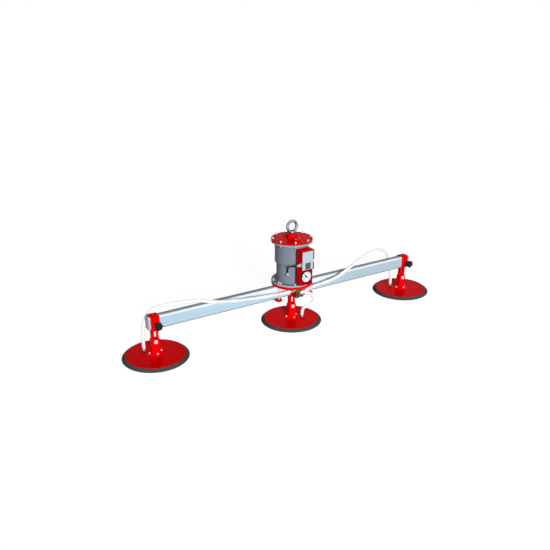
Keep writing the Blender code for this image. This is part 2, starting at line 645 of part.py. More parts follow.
def build_cup(side, x, sign, paint, rubber, steel, brass):
    """One suction cup: seal, disc, bracket, cross bolt and hose nipple."""
    outer = CUP_DIAMETER / 2
    seat = DISC_DIAMETER / 2 + SEAT_GAP
    floor = DISC_BOTTOM - SEAT_GAP
    inner = outer - SEAL_RING_WIDTH
    profile = [
        (inner, floor), (inner, floor / 2), (inner + SEAL_FACE_BEVEL, 0),
        (outer - SEAL_SOLE_BEVEL, 0), (outer, SEAL_LIP_HEIGHT),
        (seat + SEAL_TOP_WIDTH, SEAL_HEIGHT),
        (seat, SEAL_HEIGHT), (seat, floor),
    ]
    add_object(f"{side}_cup_seal", revolve(profile, SIDES_LARGE), at(x), rubber)

    edge = DISC_DIAMETER / 2
    plate = [
        (0, DISC_BOTTOM), (edge, DISC_BOTTOM), (edge, DISC_TOP - DISC_EDGE),
        (edge - DISC_EDGE, DISC_TOP), (0, DISC_TOP),
    ]
    disc = add_object(f"{side}_cup_disc", revolve(plate, SIDES_LARGE), at(x), paint)
    port = [(sign * NIPPLE_OFFSET, -sign * NIPPLE_OFFSET)]
    cut(disc, drills(port, PORT_DIAMETER, 0, 2 * DISC_TOP), at(x))

    foot = rectangle(FOOT_SIDE, FOOT_SIDE, FOOT_CORNER, 2)
    turn = Matrix.Rotation(radians(45), 4, "Z")
    bracket = add_object(
        f"{side}_cup_bracket", extrude(foot, FOOT_THICKNESS), at(x, 0, FOOT_BOTTOM) @ turn, paint
    )
    width = SLOT_TUBE_WIDTH + 2 * (SLIDE_GAP + TUBE_WALL)
    depth = SLOT_TUBE_DEPTH + 2 * (SLIDE_GAP + TUBE_WALL)
    rise = BRACKET_TOP - FOOT_TOP
    base = -FOOT_THICKNESS / 2
    face = [
        (-width / 2, base), (width / 2, base), (width / 2, rise - BRACKET_CHAMFER),
        (width / 2 - BRACKET_CHAMFER / 2, rise), (-width / 2 + BRACKET_CHAMFER / 2, rise),
        (-width / 2, rise - BRACKET_CHAMFER),
    ]
    weld(bracket, extrude(face, depth), facing_front(x, depth / 2, FOOT_TOP))
    inside = rectangle(SLOT_TUBE_WIDTH + 2 * SLIDE_GAP, SLOT_TUBE_DEPTH + 2 * SLIDE_GAP)
    cut(bracket, extrude(inside, 2 * rise), at(x, 0, FOOT_TOP))
    hole = CROSS_BOLT_DIAMETER + 2 * SEAT_GAP
    cut(bracket, rod(hole, 0, 2 * depth), facing_front(x, depth, CROSS_BOLT_HEIGHT))
    circle_points = [
        (FOOT_BOLT_RADIUS * cos(step * pi / 2), FOOT_BOLT_RADIUS * sin(step * pi / 2))
        for step in range(4)
    ]
    cut(bracket, drills(circle_points, FOOT_HOLE, FOOT_BOTTOM - MM, FOOT_TOP + MM), at(x))

    grip = depth / 2 + SEAT_GAP
    washer = grip + CROSS_BOLT_WASHER_THICKNESS
    bolt_profile = [
        (0, -washer), (CROSS_BOLT_WASHER / 2, -washer), (CROSS_BOLT_WASHER / 2, -grip),
        (CROSS_BOLT_DIAMETER / 2, -grip), (CROSS_BOLT_DIAMETER / 2, grip),
        (CROSS_BOLT_WASHER / 2, grip), (CROSS_BOLT_WASHER / 2, washer), (0, washer),
    ]
    centre = facing_front(x, 0, CROSS_BOLT_HEIGHT)
    bolt = add_object(f"{side}_cross_bolt", revolve(bolt_profile, SIDES_SMALL), centre, steel)
    embed = CROSS_BOLT_WASHER_THICKNESS / 2
    for start in (washer + CROSS_BOLT_HEAD_HEIGHT, embed - washer):
        head = extrude(polygon(CROSS_BOLT_HEAD, 6), CROSS_BOLT_HEAD_HEIGHT + embed)
        weld(bolt, head, facing_front(x, start, CROSS_BOLT_HEIGHT))

    nx, ny = port[0]
    nipple = add_object(
        f"{side}_hose_nipple", extrude(polygon(NIPPLE_HEX, 6), NIPPLE_HEX_HEIGHT),
        at(x + nx, ny, DISC_TOP + SEAT_GAP), brass,
    )
    weld(
        nipple, rod(NIPPLE_DIAMETER, NIPPLE_HEX_HEIGHT / 2, NIPPLE_HEIGHT),
        at(x + nx, ny, DISC_TOP + SEAT_GAP),
    )


def flange_points():
    """The bolt circle that both flanges, the base plate and the lid share."""
    return [
        (FLANGE_BOLT_RADIUS * cos(2 * pi * (step + 0.5) / FLANGE_BOLT_COUNT),
         FLANGE_BOLT_RADIUS * sin(2 * pi * (step + 0.5) / FLANGE_BOLT_COUNT))
        for step in range(FLANGE_BOLT_COUNT)
    ]


def clamp_points():
    """The four clamp rods."""
    return [(sx * CLAMP_OFFSET, sy * CLAMP_ROD_OFFSET) for sx in (-1, 1) for sy in (-1, 1)]


def build_base(red, grey):
    """The base plate on the beam and the lower flange on it."""
    top, bottom, edge = BASE_TOP, BASE_BOTTOM, PLATE_EDGE
    radius = PLATE_DIAMETER / 2
    disc = [
        (0, bottom), (radius - edge, bottom), (radius, bottom + edge), (radius, top - edge),
        (radius - edge, top), (0, top),
    ]
    base = add_object("base_plate", revolve(disc, SIDES_LARGE), at(), red)
    cut(base, drills(flange_points(), FLANGE_BOLT_HOLE, bottom - MM, top + MM))
    cut(base, drills(clamp_points(), CLAMP_ROD_HOLE, bottom - MM, top + MM))
    port = [(MANIFOLD_X, MANIFOLD_Y)]
    cut(base, drills(port, MANIFOLD_PORT, bottom - MM, top + MM))

    bottom, top = BASE_TOP + SEAT_GAP, LOWER_FLANGE_TOP
    hole = BARREL_DIAMETER + 2 * SEAT_GAP
    flange = add_object("lower_flange", ring(hole, PLATE_DIAMETER, bottom, top), at(), grey)
    cut(flange, drills(flange_points(), FLANGE_BOLT_HOLE, bottom - MM, top + MM))
    cut(flange, drills(clamp_points(), CLAMP_ROD_HOLE, bottom - MM, top + MM))


def build_cylinder(red, grey):
    """Barrel, jacket, upper flange and lid."""
    barrel = ring(BORE_DIAMETER, BARREL_DIAMETER, BASE_TOP + SEAT_GAP, BARREL_TOP)
    add_object("cylinder_barrel", barrel, at(), grey)
    hole = BARREL_DIAMETER + 2 * SEAT_GAP
    jacket_top = UPPER_FLANGE_BOTTOM - SEAT_GAP
    jacket = ring(hole, JACKET_DIAMETER, jacket_top - JACKET_HEIGHT, jacket_top)
    add_object("cylinder_jacket", jacket, at(), grey)
    flange = add_object(
        "upper_flange", ring(hole, PLATE_DIAMETER, UPPER_FLANGE_BOTTOM, BARREL_TOP), at(), grey,
    )
    cut(flange, drills(flange_points(), FLANGE_BOLT_HOLE, UPPER_FLANGE_BOTTOM - MM, BARREL_TOP + MM))
    bush_outer = ROD_DIAMETER + 2 * (SEAT_GAP + BUSH_WALL)
    lid = add_object(
        "cylinder_lid",
        ring(bush_outer + 2 * SEAT_GAP, PLATE_DIAMETER, LID_BOTTOM, LID_TOP, PLATE_EDGE),
        at(), red,
    )
    cut(lid, drills(flange_points(), FLANGE_BOLT_HOLE, LID_BOTTOM - MM, LID_TOP + MM))


def build_guide(red, bronze):
    """The rod guide on the lid, with two lugs, and the bush that the parked eye rests on."""
    bush_inner = ROD_DIAMETER + 2 * SEAT_GAP
    bush_outer = bush_inner + 2 * BUSH_WALL
    place = at(0, 0, GUIDE_BOTTOM)
    boss = extrude(polygon(GUIDE_DIAMETER, SIDES_MEDIUM), GUIDE_HEIGHT)
    guide = add_object("rod_guide", boss, place, red)
    lugs = rectangle(GUIDE_LUG_WIDTH, 2 * GUIDE_LUG_REACH, GUIDE_LUG_CORNER)
    weld(guide, extrude(lugs, GUIDE_LUG_THICKNESS), place)
    cut(guide, rod(bush_outer + 2 * SEAT_GAP, -MM, GUIDE_HEIGHT + MM, SIDES_MEDIUM), place)
    half = GUIDE_SCREW_SPACING / 2
    screws = [(sx * half, sy * GUIDE_SCREW_REACH) for sx in (-1, 1) for sy in (-1, 1)]
    cut(guide, drills(screws, GUIDE_SCREW_HOLE, -MM, GUIDE_LUG_THICKNESS + MM), place)
    cut(
        guide, rod(SET_SCREW_HOLE, 0, GUIDE_DIAMETER, SIDES_HOLE),
        facing_front(0, 0, GUIDE_BOTTOM + SET_SCREW_HEIGHT),
    )
    bush_top = EYE_BOTTOM - SEAT_GAP
    bush = ring(bush_inner, bush_outer, LID_BOTTOM, bush_top, 0, SIDES_MEDIUM)
    add_object("guide_bush", bush, at(), bronze)


def build_lifting_rod(steel, rubber, forged):
    """The piston and its seal, the rod and the lifting eye: all rise together."""
    bottom = BASE_TOP + PISTON_LIFT_OFF
    top = bottom + PISTON_HEIGHT
    outer = BORE_DIAMETER / 2 - PISTON_CLEARANCE
    groove = outer - SEAL_GROOVE_DEPTH
    low = bottom + (PISTON_HEIGHT - PISTON_CROWN) / 2
    crown = low + PISTON_CROWN
    groove_low = (low + crown - SEAL_GROOVE_HEIGHT) / 2
    groove_high = groove_low + SEAL_GROOVE_HEIGHT
    hub = ROD_DIAMETER
    bore = ROD_DIAMETER / 2 + SEAT_GAP
    profile = [
        (bore, bottom), (hub, bottom), (hub, low), (outer, low), (outer, groove_low),
        (groove, groove_low), (groove, groove_high), (outer, groove_high), (outer, crown),
        (hub, crown), (hub, top), (bore, top),
    ]
    add_object("piston", revolve(profile, SIDES_MEDIUM), at(), steel)
    seal = ring(
        2 * (groove + SEAT_GAP), BORE_DIAMETER - 2 * SLIDE_GAP,
        groove_low + SEAT_GAP, groove_high - SEAT_GAP, 0, SIDES_MEDIUM,
    )
    add_object("piston_seal", seal, at(), rubber)
    rod_top = EYE_BOTTOM + EYE_THREAD_DEPTH - SEAT_GAP
    half = ROD_DIAMETER / 2
    bar = [
        (0, bottom), (half, bottom), (half, rod_top - ROD_CHAMFER), (half - ROD_CHAMFER, rod_top),
        (0, rod_top),
    ]
    add_object("piston_rod", revolve(bar, SIDES_MEDIUM), at(), steel)

    bar_radius = EYE_BAR_DIAMETER / 2
    section = [
        (EYE_RING_RADIUS + bar_radius * cos(2 * pi * step / EYE_BAR_SIDES),
         bar_radius * sin(2 * pi * step / EYE_BAR_SIDES))
        for step in range(EYE_BAR_SIDES)
    ]
    eye = add_object("lifting_eye", revolve(section, SIDES_MEDIUM), facing_front(0, 0, EYE_CENTRE), forged)
    collar = EYE_COLLAR_DIAMETER / 2
    waist = collar - EYE_WAIST_STEP
    collar_top = EYE_BOTTOM + EYE_COLLAR_HEIGHT - EYE_COLLAR_SLOPE
    neck = [
        (0, EYE_BOTTOM), (collar - ROD_CHAMFER, EYE_BOTTOM), (collar, EYE_BOTTOM + ROD_CHAMFER),
        (collar, EYE_BOTTOM + EYE_COLLAR_HEIGHT / 2), (waist, collar_top - ROD_CHAMFER),
        (bar_radius, collar_top), (0, collar_top),
    ]
    weld(eye, revolve(neck, SIDES_MEDIUM))
    bore_top = EYE_BOTTOM + EYE_THREAD_DEPTH
    cut(eye, rod(ROD_DIAMETER + 2 * SEAT_GAP, EYE_BOTTOM - MM, bore_top, SIDES_MEDIUM))


def build_valve_box(red, plate_paint, metal):
    """The valve housing, its front plate with a vent, and the valve block inside."""
    lip = -BOX_LOWER_FRONT - BOX_LIP
    lip_top = BOX_BOTTOM + BOX_WALL
    side = [
        (-BOX_BACK, BOX_BOTTOM), (lip, BOX_BOTTOM), (lip, lip_top), (-BOX_LOWER_FRONT, lip_top),
        (-BOX_LOWER_FRONT, BOX_STEP), (-BOX_UPPER_FRONT, BOX_STEP), (-BOX_UPPER_FRONT, BOX_TOP),
        (-BOX_BACK, BOX_TOP),
    ]
    upright = Matrix(((0, 0, 1, 0), (1, 0, 0, 0), (0, 1, 0, 0), (0, 0, 0, 1)))
    half = BOX_WIDTH / 2
    housing = add_object("valve_housing", extrude(side, BOX_WIDTH), at(-half) @ upright, red)
    saddle_top = BOX_TOP - BOX_SADDLE_HEIGHT / 4
    saddle = rectangle(BOX_SADDLE_WIDTH, BOX_SADDLE_HEIGHT)
    saddle_middle = saddle_top - BOX_SADDLE_HEIGHT / 2
    weld(
        housing, extrude(saddle, BOX_BACK + BOX_WALL / 2 - JACKET_DIAMETER / 3),
        facing_front(0, -JACKET_DIAMETER / 3, saddle_middle),
    )
    jacket = JACKET_DIAMETER + 2 * SEAT_GAP
    cut(housing, rod(jacket, BOX_BOTTOM - MM, BOX_TOP + MM, SIDES_LARGE))
    wall = BOX_WALL
    inside = [
        (-BOX_BACK - wall, BOX_BOTTOM + wall), (-BOX_LOWER_FRONT + wall, BOX_BOTTOM + wall),
        (-BOX_LOWER_FRONT + wall, BOX_STEP + wall), (-BOX_UPPER_FRONT + wall, BOX_STEP + wall),
        (-BOX_UPPER_FRONT + wall, BOX_TOP - wall), (-BOX_BACK - wall, BOX_TOP - wall),
    ]
    cut(housing, extrude(inside, BOX_WIDTH - 2 * wall), at(wall - half) @ upright)
    plate_width = BOX_WIDTH - PLATE_RIGHT_STRIP
    plate_height = BOX_TOP - BOX_STEP - 2 * PLATE_END_MARGIN
    plate_x = -PLATE_RIGHT_STRIP / 2
    plate_z = (BOX_TOP + BOX_STEP) / 2
    window = rectangle(plate_width - 2 * PLATE_OVERLAP, plate_height - 2 * PLATE_OVERLAP)
    cut(housing, extrude(window, 3 * wall), facing_front(plate_x, -BOX_UPPER_FRONT + 2 * wall, plate_z))
    notch = rectangle(2 * NOTCH_DEPTH, NOTCH_HEIGHT)
    notch_z = BOX_STEP + NOTCH_ABOVE_STEP + NOTCH_HEIGHT / 2
    cut(
        housing, extrude(notch, 2 * NOTCH_DEPTH),
        facing_front(half, -BOX_UPPER_FRONT + NOTCH_DEPTH, notch_z),
    )
    stem_hole = GAUGE_STEM_DIAMETER + 2 * SEAT_GAP
    cut(
        housing, rod(stem_hole, 0, BOX_UPPER_FRONT - BOX_BACK, SIDES_MEDIUM),
        facing_front(GAUGE_X, -BOX_BACK - 2 * wall, BOX_BOTTOM + GAUGE_HEIGHT_IN_BOX),
    )

    front = -BOX_UPPER_FRONT - SEAT_GAP
    outline = rectangle(plate_width, plate_height, PLATE_CORNER, 2)
    plate = add_object(
        "valve_front_plate", extrude(outline, PLATE_SHEET), facing_front(plate_x, front, plate_z),
        plate_paint,
    )
    vent_x = plate_x + plate_width / 2 - VENT_FROM_RIGHT - VENT_WIDTH / 2
    vent_z = plate_z - plate_height / 2 + VENT_FROM_BOTTOM + VENT_HEIGHT / 2
    cell_width = (VENT_WIDTH - (VENT_COLUMNS - 1) * VENT_BAR) / VENT_COLUMNS
    cell_height = (VENT_HEIGHT - (VENT_ROWS - 1) * VENT_BAR) / VENT_ROWS
    for column in range(VENT_COLUMNS):
        for row in range(VENT_ROWS):
            x = vent_x - VENT_WIDTH / 2 + cell_width / 2 + column * (cell_width + VENT_BAR)
            z = vent_z - VENT_HEIGHT / 2 + cell_height / 2 + row * (cell_height + VENT_BAR)
            cut(
                plate, extrude(rectangle(cell_width, cell_height), 3 * PLATE_SHEET),
                facing_front(x, front + PLATE_SHEET, z),
            )

    back = -BOX_BACK - wall - SEAT_GAP
    outline = rectangle(VALVE_BLOCK_WIDTH, VALVE_BLOCK_HEIGHT, VALVE_BLOCK_CORNER, 1)
    place = facing_front(0, back, plate_z)
    block = add_object("valve_block", extrude(outline, VALVE_BLOCK_DEPTH), place, metal)
    spool_y = back - VALVE_BLOCK_DEPTH / 2
    reach = VALVE_BLOCK_HEIGHT
    cut(block, rod(VALVE_SPOOL_BORE, plate_z, plate_z + reach), at(0, spool_y))


def build_gauge(black, white, needle_paint):
    """The vacuum gauge in the lower front of the valve box, with its dial and needle."""
    centre = BOX_BOTTOM + GAUGE_HEIGHT_IN_BOX
    back = SEAT_GAP
    outer = GAUGE_DIAMETER / 2
    stem = GAUGE_STEM_DIAMETER / 2
    front = back + GAUGE_DEPTH
    floor = front - GAUGE_RECESS
    profile = [
        (0, -GAUGE_STEM_LENGTH), (stem, -GAUGE_STEM_LENGTH), (stem, back), (outer - MM, back),
        (outer, back + MM), (outer, front - MM), (outer - MM, front), (outer - GAUGE_RIM, front),
        (outer - GAUGE_RIM, floor), (0, floor),
    ]
    place = facing_front(GAUGE_X, -BOX_LOWER_FRONT, centre)
    case = add_object("gauge_case", revolve(profile, SIDES_MEDIUM), place, black)
    pivot_hole = PIVOT_DIAMETER + 2 * SEAT_GAP
    cut(case, rod(pivot_hole, floor - 2 * MM, floor + MM, SIDES_HOLE), place)
    dial_bottom = floor + SEAT_GAP
    dial_top = dial_bottom + DIAL_THICKNESS
    dial = ring(pivot_hole, 2 * (outer - GAUGE_RIM - SEAT_GAP), dial_bottom, dial_top, 0, SIDES_MEDIUM)
    add_object("gauge_dial", dial, place, white)

    rise = dial_top + SEAT_GAP
    pointer = [
        (-NEEDLE_TAIL, -NEEDLE_WIDTH / 2), (0, -NEEDLE_WIDTH / 2), (NEEDLE_REACH, -NEEDLE_TIP_WIDTH / 2),
        (NEEDLE_REACH, NEEDLE_TIP_WIDTH / 2), (0, NEEDLE_WIDTH / 2), (-NEEDLE_TAIL, NEEDLE_WIDTH / 2),
    ]
    pivot = [
        (0, floor - MM), (PIVOT_DIAMETER / 2, floor - MM), (PIVOT_DIAMETER / 2, rise),
        (NEEDLE_HUB / 2, rise), (NEEDLE_HUB / 2, rise + 2 * NEEDLE_THICKNESS),
        (0, rise + 2 * NEEDLE_THICKNESS),
    ]
    turned = place @ Matrix.Rotation(NEEDLE_ANGLE, 4, "Z")
    needle = add_object("gauge_needle", revolve(pivot, SIDES_SMALL), turned, needle_paint)
    weld(needle, extrude(pointer, NEEDLE_THICKNESS), turned @ at(0, 0, rise + NEEDLE_THICKNESS / 2))


def build_pilot_line(metal, black):
    """The fitting on the valve box, the elbow on the barrel and the hose between them."""
    start = -BOX_WIDTH / 2 - SEAT_GAP
    y = -BOX_UPPER_FRONT + PILOT_FITTING_DEPTH
    z = BOX_STEP + PILOT_FITTING_HEIGHT
    base = PILOT_BASE_DIAMETER / 2
    body = PILOT_BODY_DIAMETER / 2
    profile = [
        (0, 0), (base, 0), (base, PILOT_BASE_LENGTH / 2), (body, PILOT_BASE_LENGTH),
        (body, PILOT_BODY_LENGTH), (body - PILOT_NOSE_STEP, PILOT_BODY_LENGTH + PILOT_NOSE_LENGTH),
        (0, PILOT_BODY_LENGTH + PILOT_NOSE_LENGTH),
    ]
    place = facing_side(start, y, z, pi)
    add_object("valve_fitting", revolve(profile, SIDES_SMALL), place, metal)

    outward = Matrix.Rotation(ELBOW_ANGLE, 4, "Z")
    height = LOWER_FLANGE_TOP + ELBOW_HEIGHT
    surface = BARREL_DIAMETER / 2 + SEAT_GAP
    stem_place = outward @ at(surface, 0, height) @ Matrix.Rotation(radians(90), 4, "Y")
    elbow = add_object("barrel_elbow", rod(ELBOW_STEM_DIAMETER, 0, ELBOW_REACH), stem_place, metal)
    body = rod(ELBOW_DIAMETER, ELBOW_RISE - ELBOW_LENGTH, ELBOW_RISE)
    weld(elbow, body, outward @ at(surface + ELBOW_REACH - ELBOW_DIAMETER / 4, 0, height))
    seat = rod(BARREL_DIAMETER + 2 * SEAT_GAP, height - ELBOW_LENGTH, height + ELBOW_LENGTH, SIDES_LARGE)
    cut(elbow, seat)

    points = tube_points(PILOT_ROUTE, PILOT_POINT_SPACING, SEAT_GAP)
    make_tube("pilot_hose", points, PILOT_DIAMETER, black)


def build_clamps(red, steel):
    """The plates under the beam and the rods up through the base plate and its flange."""
    reach = CLAMP_ROD_OFFSET + CLAMP_PLATE_MARGIN
    outline = rectangle(CLAMP_PLATE_WIDTH, 2 * reach, CLAMP_PLATE_WIDTH * 0.45, 5)
    for side, sign in (("left", -1), ("right", 1)):
        plate = add_object(
            f"clamp_plate_{side}", extrude(outline, CLAMP_PLATE_THICKNESS),
            at(sign * CLAMP_OFFSET, 0, CLAMP_PLATE_BOTTOM), red,
        )
        holes = [(0, -CLAMP_ROD_OFFSET), (0, CLAMP_ROD_OFFSET)]
        cut(
            plate, drills(holes, CLAMP_ROD_HOLE, CLAMP_PLATE_BOTTOM - MM, CLAMP_PLATE_TOP + MM),
            at(sign * CLAMP_OFFSET),
        )
        for end, row in (("front", -1), ("rear", 1)):
            bar = rod(
                CLAMP_ROD_DIAMETER, CLAMP_PLATE_BOTTOM - CLAMP_ROD_END,
                LOWER_FLANGE_TOP + CLAMP_ROD_END,
            )
            place = at(sign * CLAMP_OFFSET, row * CLAMP_ROD_OFFSET)
            add_object(f"clamp_rod_{side}_{end}", bar, place, steel)


def build_manifold(brass):
    """The brass manifold under the base plate and its three hose barbs."""
    column = MANIFOLD_TOP - MANIFOLD_HEIGHT
    place = at(MANIFOLD_X, MANIFOLD_Y)
    body = add_object(
        "manifold", extrude(polygon(MANIFOLD_WIDTH, MANIFOLD_FACETS), MANIFOLD_HEIGHT),
        place @ at(0, 0, column), brass,
    )
    weld(
        body, extrude(polygon(MANIFOLD_TOP_HEX, 6), MANIFOLD_TOP_HEIGHT),
        place @ at(0, 0, MANIFOLD_TOP - MANIFOLD_TOP_HEIGHT),
    )
    weld(
        body, extrude(polygon(MANIFOLD_PLUG_HEX, 6), 2 * MANIFOLD_PLUG_HEIGHT),
        place @ at(0, 0, column - MANIFOLD_PLUG_HEIGHT),
    )
    arm_z = MANIFOLD_TOP - MIDDLE_PORT_DROP
    weld(
        body, rod(MANIFOLD_ARM_DIAMETER, 0, MANIFOLD_ARM_REACH - MM),
        facing_side(MANIFOLD_X, MANIFOLD_Y, arm_z),
    )
    weld(
        body, extrude(polygon(MANIFOLD_ARM_HEX, 6), MANIFOLD_ARM_HEX_LENGTH),
        facing_side(MANIFOLD_X + MANIFOLD_ARM_REACH - MANIFOLD_ARM_HEX_LENGTH, MANIFOLD_Y, arm_z),
    )
    port_top = MANIFOLD_TOP + MM
    cut(body, rod(MANIFOLD_PORT, MANIFOLD_TOP - MANIFOLD_HEIGHT / 2, port_top), place)

    head = MANIFOLD_TOP_HEX / 2 + SEAT_GAP
    flat = MANIFOLD_WIDTH / 2 + SEAT_GAP
    arm = MANIFOLD_ARM_REACH + SEAT_GAP
    barbs = (
        ("left", LEFT_PORT_DROP, pi, head, LEFT_BARB_LENGTH, LEFT_BARB_HEX_LENGTH),
        ("right", RIGHT_PORT_DROP, RIGHT_BARB_TURN, flat, RIGHT_BARB_LENGTH, RIGHT_BARB_LENGTH / 2),
        ("middle", MIDDLE_PORT_DROP, 0, arm, MIDDLE_BARB_LENGTH, MIDDLE_BARB_HEX_LENGTH),
    )
    for name, drop, turn, start, length, hex_length in barbs:
        barb_place = facing_side(MANIFOLD_X, MANIFOLD_Y, MANIFOLD_TOP - drop, turn)
        barb = add_object(
            f"manifold_barb_{name}", extrude(polygon(BARB_HEX, 6), hex_length),
            barb_place @ at(0, 0, start), brass,
        )
        weld(barb, rod(BARB_DIAMETER, start + hex_length / 2, start + length), barb_place)


def build_hoses(clear):
    """Three hoses; the two long ones are in two lengths that meet over the sleeves."""
    hoses = (
        ("hose_left_run", HOSE_LEFT_ROUTE, HOSE_RUN_SPACING, 0, HOSE_LEFT_RUN_STEPS),
        ("hose_left_drop", HOSE_LEFT_ROUTE, HOSE_RUN_SPACING, HOSE_LEFT_RUN_STEPS, None),
        ("hose_right_run", HOSE_RIGHT_ROUTE, HOSE_RUN_SPACING, 0, HOSE_RIGHT_RUN_STEPS),
        ("hose_right_drop", HOSE_RIGHT_ROUTE, HOSE_RUN_SPACING, HOSE_RIGHT_RUN_STEPS, None),
        ("hose_middle", HOSE_MIDDLE_ROUTE, HOSE_LOOP_SPACING, 0, None),
    )
    for name, route, spacing, first, last in hoses:
        points = tube_points(route, spacing, SEAT_GAP / 2, first, last)
        make_tube(name, points, HOSE_DIAMETER, clear)


def main():
    """Build every piece."""
    clear_scene()
    red = make_material("red_paint", (0.78, 0.01, 0.015), 0.0, 0.3)
    grey = make_material("grey_paint", (0.26, 0.29, 0.34), 0.1, 0.4)
    aluminium = make_material("aluminium", (0.62, 0.7, 0.76), 0.6, 0.35)
    plate_paint = make_material("front_plate", (0.55, 0.68, 0.76), 0.2, 0.4)
    cap_paint = make_material("cap_grey", (0.5, 0.53, 0.55), 0.2, 0.45)
    rubber = make_material("rubber", (0.045, 0.05, 0.05), 0.0, 0.75)
    steel = make_material("zinc_steel", (0.6, 0.62, 0.64), 1.0, 0.35)
    forged = make_material("eye_steel", (0.35, 0.39, 0.42), 0.9, 0.35)
    brass = make_material("brass", (0.55, 0.38, 0.15), 1.0, 0.35)
    black = make_material("black_plastic", (0.02, 0.02, 0.022), 0.0, 0.45)
    white = make_material("dial_white", (0.9, 0.9, 0.9), 0.0, 0.5)
    clear = make_material("clear_hose", (0.85, 0.86, 0.88), 0.0, 0.25)

    build_beam(aluminium, cap_paint)
    build_saddle(red)
    build_base(red, grey)
    build_cylinder(red, grey)
    build_guide(red, brass)
    build_lifting_rod(steel, rubber, forged)
    build_valve_box(red, plate_paint, aluminium)
    build_gauge(black, white, black)
    build_pilot_line(steel, black)
    build_clamps(red, steel)
    build_manifold(brass)
    build_hoses(clear)
    for side, sign in (("left", -1), ("right", 1)):
        build_sleeve(f"{side}_sleeve", sign * CUP_SPACING, red)
        build_knob(f"{side}_knob", sign * CUP_SPACING, black)
        build_cup(side, sign * CUP_SPACING, -1, red, rubber, steel, brass)
    build_cup("middle", 0, 1, red, rubber, steel, brass)


main()
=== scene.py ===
"""The looks of the vacuum lifter: fine edges, finishes, fasteners, dial and hoses.

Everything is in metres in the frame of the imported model: X along the beam, -Y to the front
with the valve box and the gauge, Z up from the ground.
"""
from collections import namedtuple
from math import atan2, cos, pi, radians, sin

import bmesh
import bpy
from mathutils import Matrix, Vector


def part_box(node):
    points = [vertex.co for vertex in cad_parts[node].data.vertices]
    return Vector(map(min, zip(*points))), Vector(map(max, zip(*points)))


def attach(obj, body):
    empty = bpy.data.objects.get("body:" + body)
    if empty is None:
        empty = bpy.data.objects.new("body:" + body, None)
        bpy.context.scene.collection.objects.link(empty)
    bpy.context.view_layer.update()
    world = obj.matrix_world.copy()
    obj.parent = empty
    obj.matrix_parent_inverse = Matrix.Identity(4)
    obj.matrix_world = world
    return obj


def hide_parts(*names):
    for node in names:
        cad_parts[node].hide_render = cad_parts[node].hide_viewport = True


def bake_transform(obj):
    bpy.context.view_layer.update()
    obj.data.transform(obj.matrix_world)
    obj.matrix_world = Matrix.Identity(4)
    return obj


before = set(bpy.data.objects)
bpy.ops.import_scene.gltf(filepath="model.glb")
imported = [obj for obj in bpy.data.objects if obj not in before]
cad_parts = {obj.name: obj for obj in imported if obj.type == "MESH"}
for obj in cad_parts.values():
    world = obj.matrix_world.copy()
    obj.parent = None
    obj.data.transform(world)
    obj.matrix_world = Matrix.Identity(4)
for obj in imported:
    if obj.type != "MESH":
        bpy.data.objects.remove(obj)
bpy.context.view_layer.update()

MM = 0.001

# The photograph's camera: square frame, level, centred
CAMERA_PLACE = (-2.1552, -3.2689, 1.8785)
CAMERA_LOOK = (0.48985, 0.78922, -0.37039)
CAMERA_LENS = 42.51

# The points that each hose follows, in millimetres, and the one at which it leaves its holder
LEFT_ROUTE = [
    (-60, -75, 240.2), (-76, -75, 240.2), (-124, -76, 241), (-188, -76, 245), (-309, -75, 254),
    (-424, -75, 266), (-527, -73, 281), (-608, -64, 297), (-677, -49, 312), (-741, -29, 316),
    (-803, -3, 312), (-869, 22, 304), (-929, 40, 290), (-970, 47, 262), (-1001, 51, 196),
    (-1013, 52, 112), (-1011, 52, 61), (-1011, 52, 45),
]
LEFT_SPLIT = 13
RIGHT_ROUTE = [
    (14, -86, 223.7), (22.7, -91, 223.7), (42, -98, 230), (84, -99, 248), (193, -91, 254),
    (309, -80, 267), (423, -71, 311), (544, -60, 356), (633, -45, 372), (715, -20, 362),
    (777, 5, 340), (826, 28, 307), (871, 45, 248), (894, 51, 180), (906, 52, 110), (907, 52, 61),
    (907, 52, 45),
]
RIGHT_SPLIT = 12
MIDDLE_ROUTE = [
    (54, -75, 201.2), (68, -75, 201.2), (87, -75, 197), (107, -73, 184), (125, -71, 159),
    (130, -68, 133), (119, -65, 113), (97, -61, 102), (74, -57, 98), (58, -53, 85), (52, -52, 62),
    (52, -52, 45),
]
PILOT_ROUTE = [
    (-75, -172, 449.9), (-82, -172, 449.9), (-94, -165, 450), (-99, -150, 448.5), (-97, -129, 440),
    (-90, -105, 425), (-83, -85, 408), (-79.9, -75.6, 393), (-79.7, -75.4, 383),
    (-79.7, -75.4, 375),
]
HOSE_DIAMETER = 20 * MM
PILOT_DIAMETER = 8 * MM
CURVE_STEPS = 12
HOSE_SIDES = 28

# The cylinder and the fasteners
BORE_DIAMETER = 186 * MM
BARREL_DIAMETER = 197.4 * MM
BOLT_CIRCLE = 122 * MM
STUD_PITCH, STUD_PROUD = 1.25 * MM, 3 * MM
WASHER = 1.6 * MM
# The rounding of the edges of cut plate
EDGE = 0.8 * MM

# Ways that faces look; the last is that of the faces of bare metal that get a painted highlight
UP, FRONT, PAINTED_HIGHLIGHT_SIDE = (0, 0, 1), (0, -1, 0), (-0.35, -0.85, 0.38)

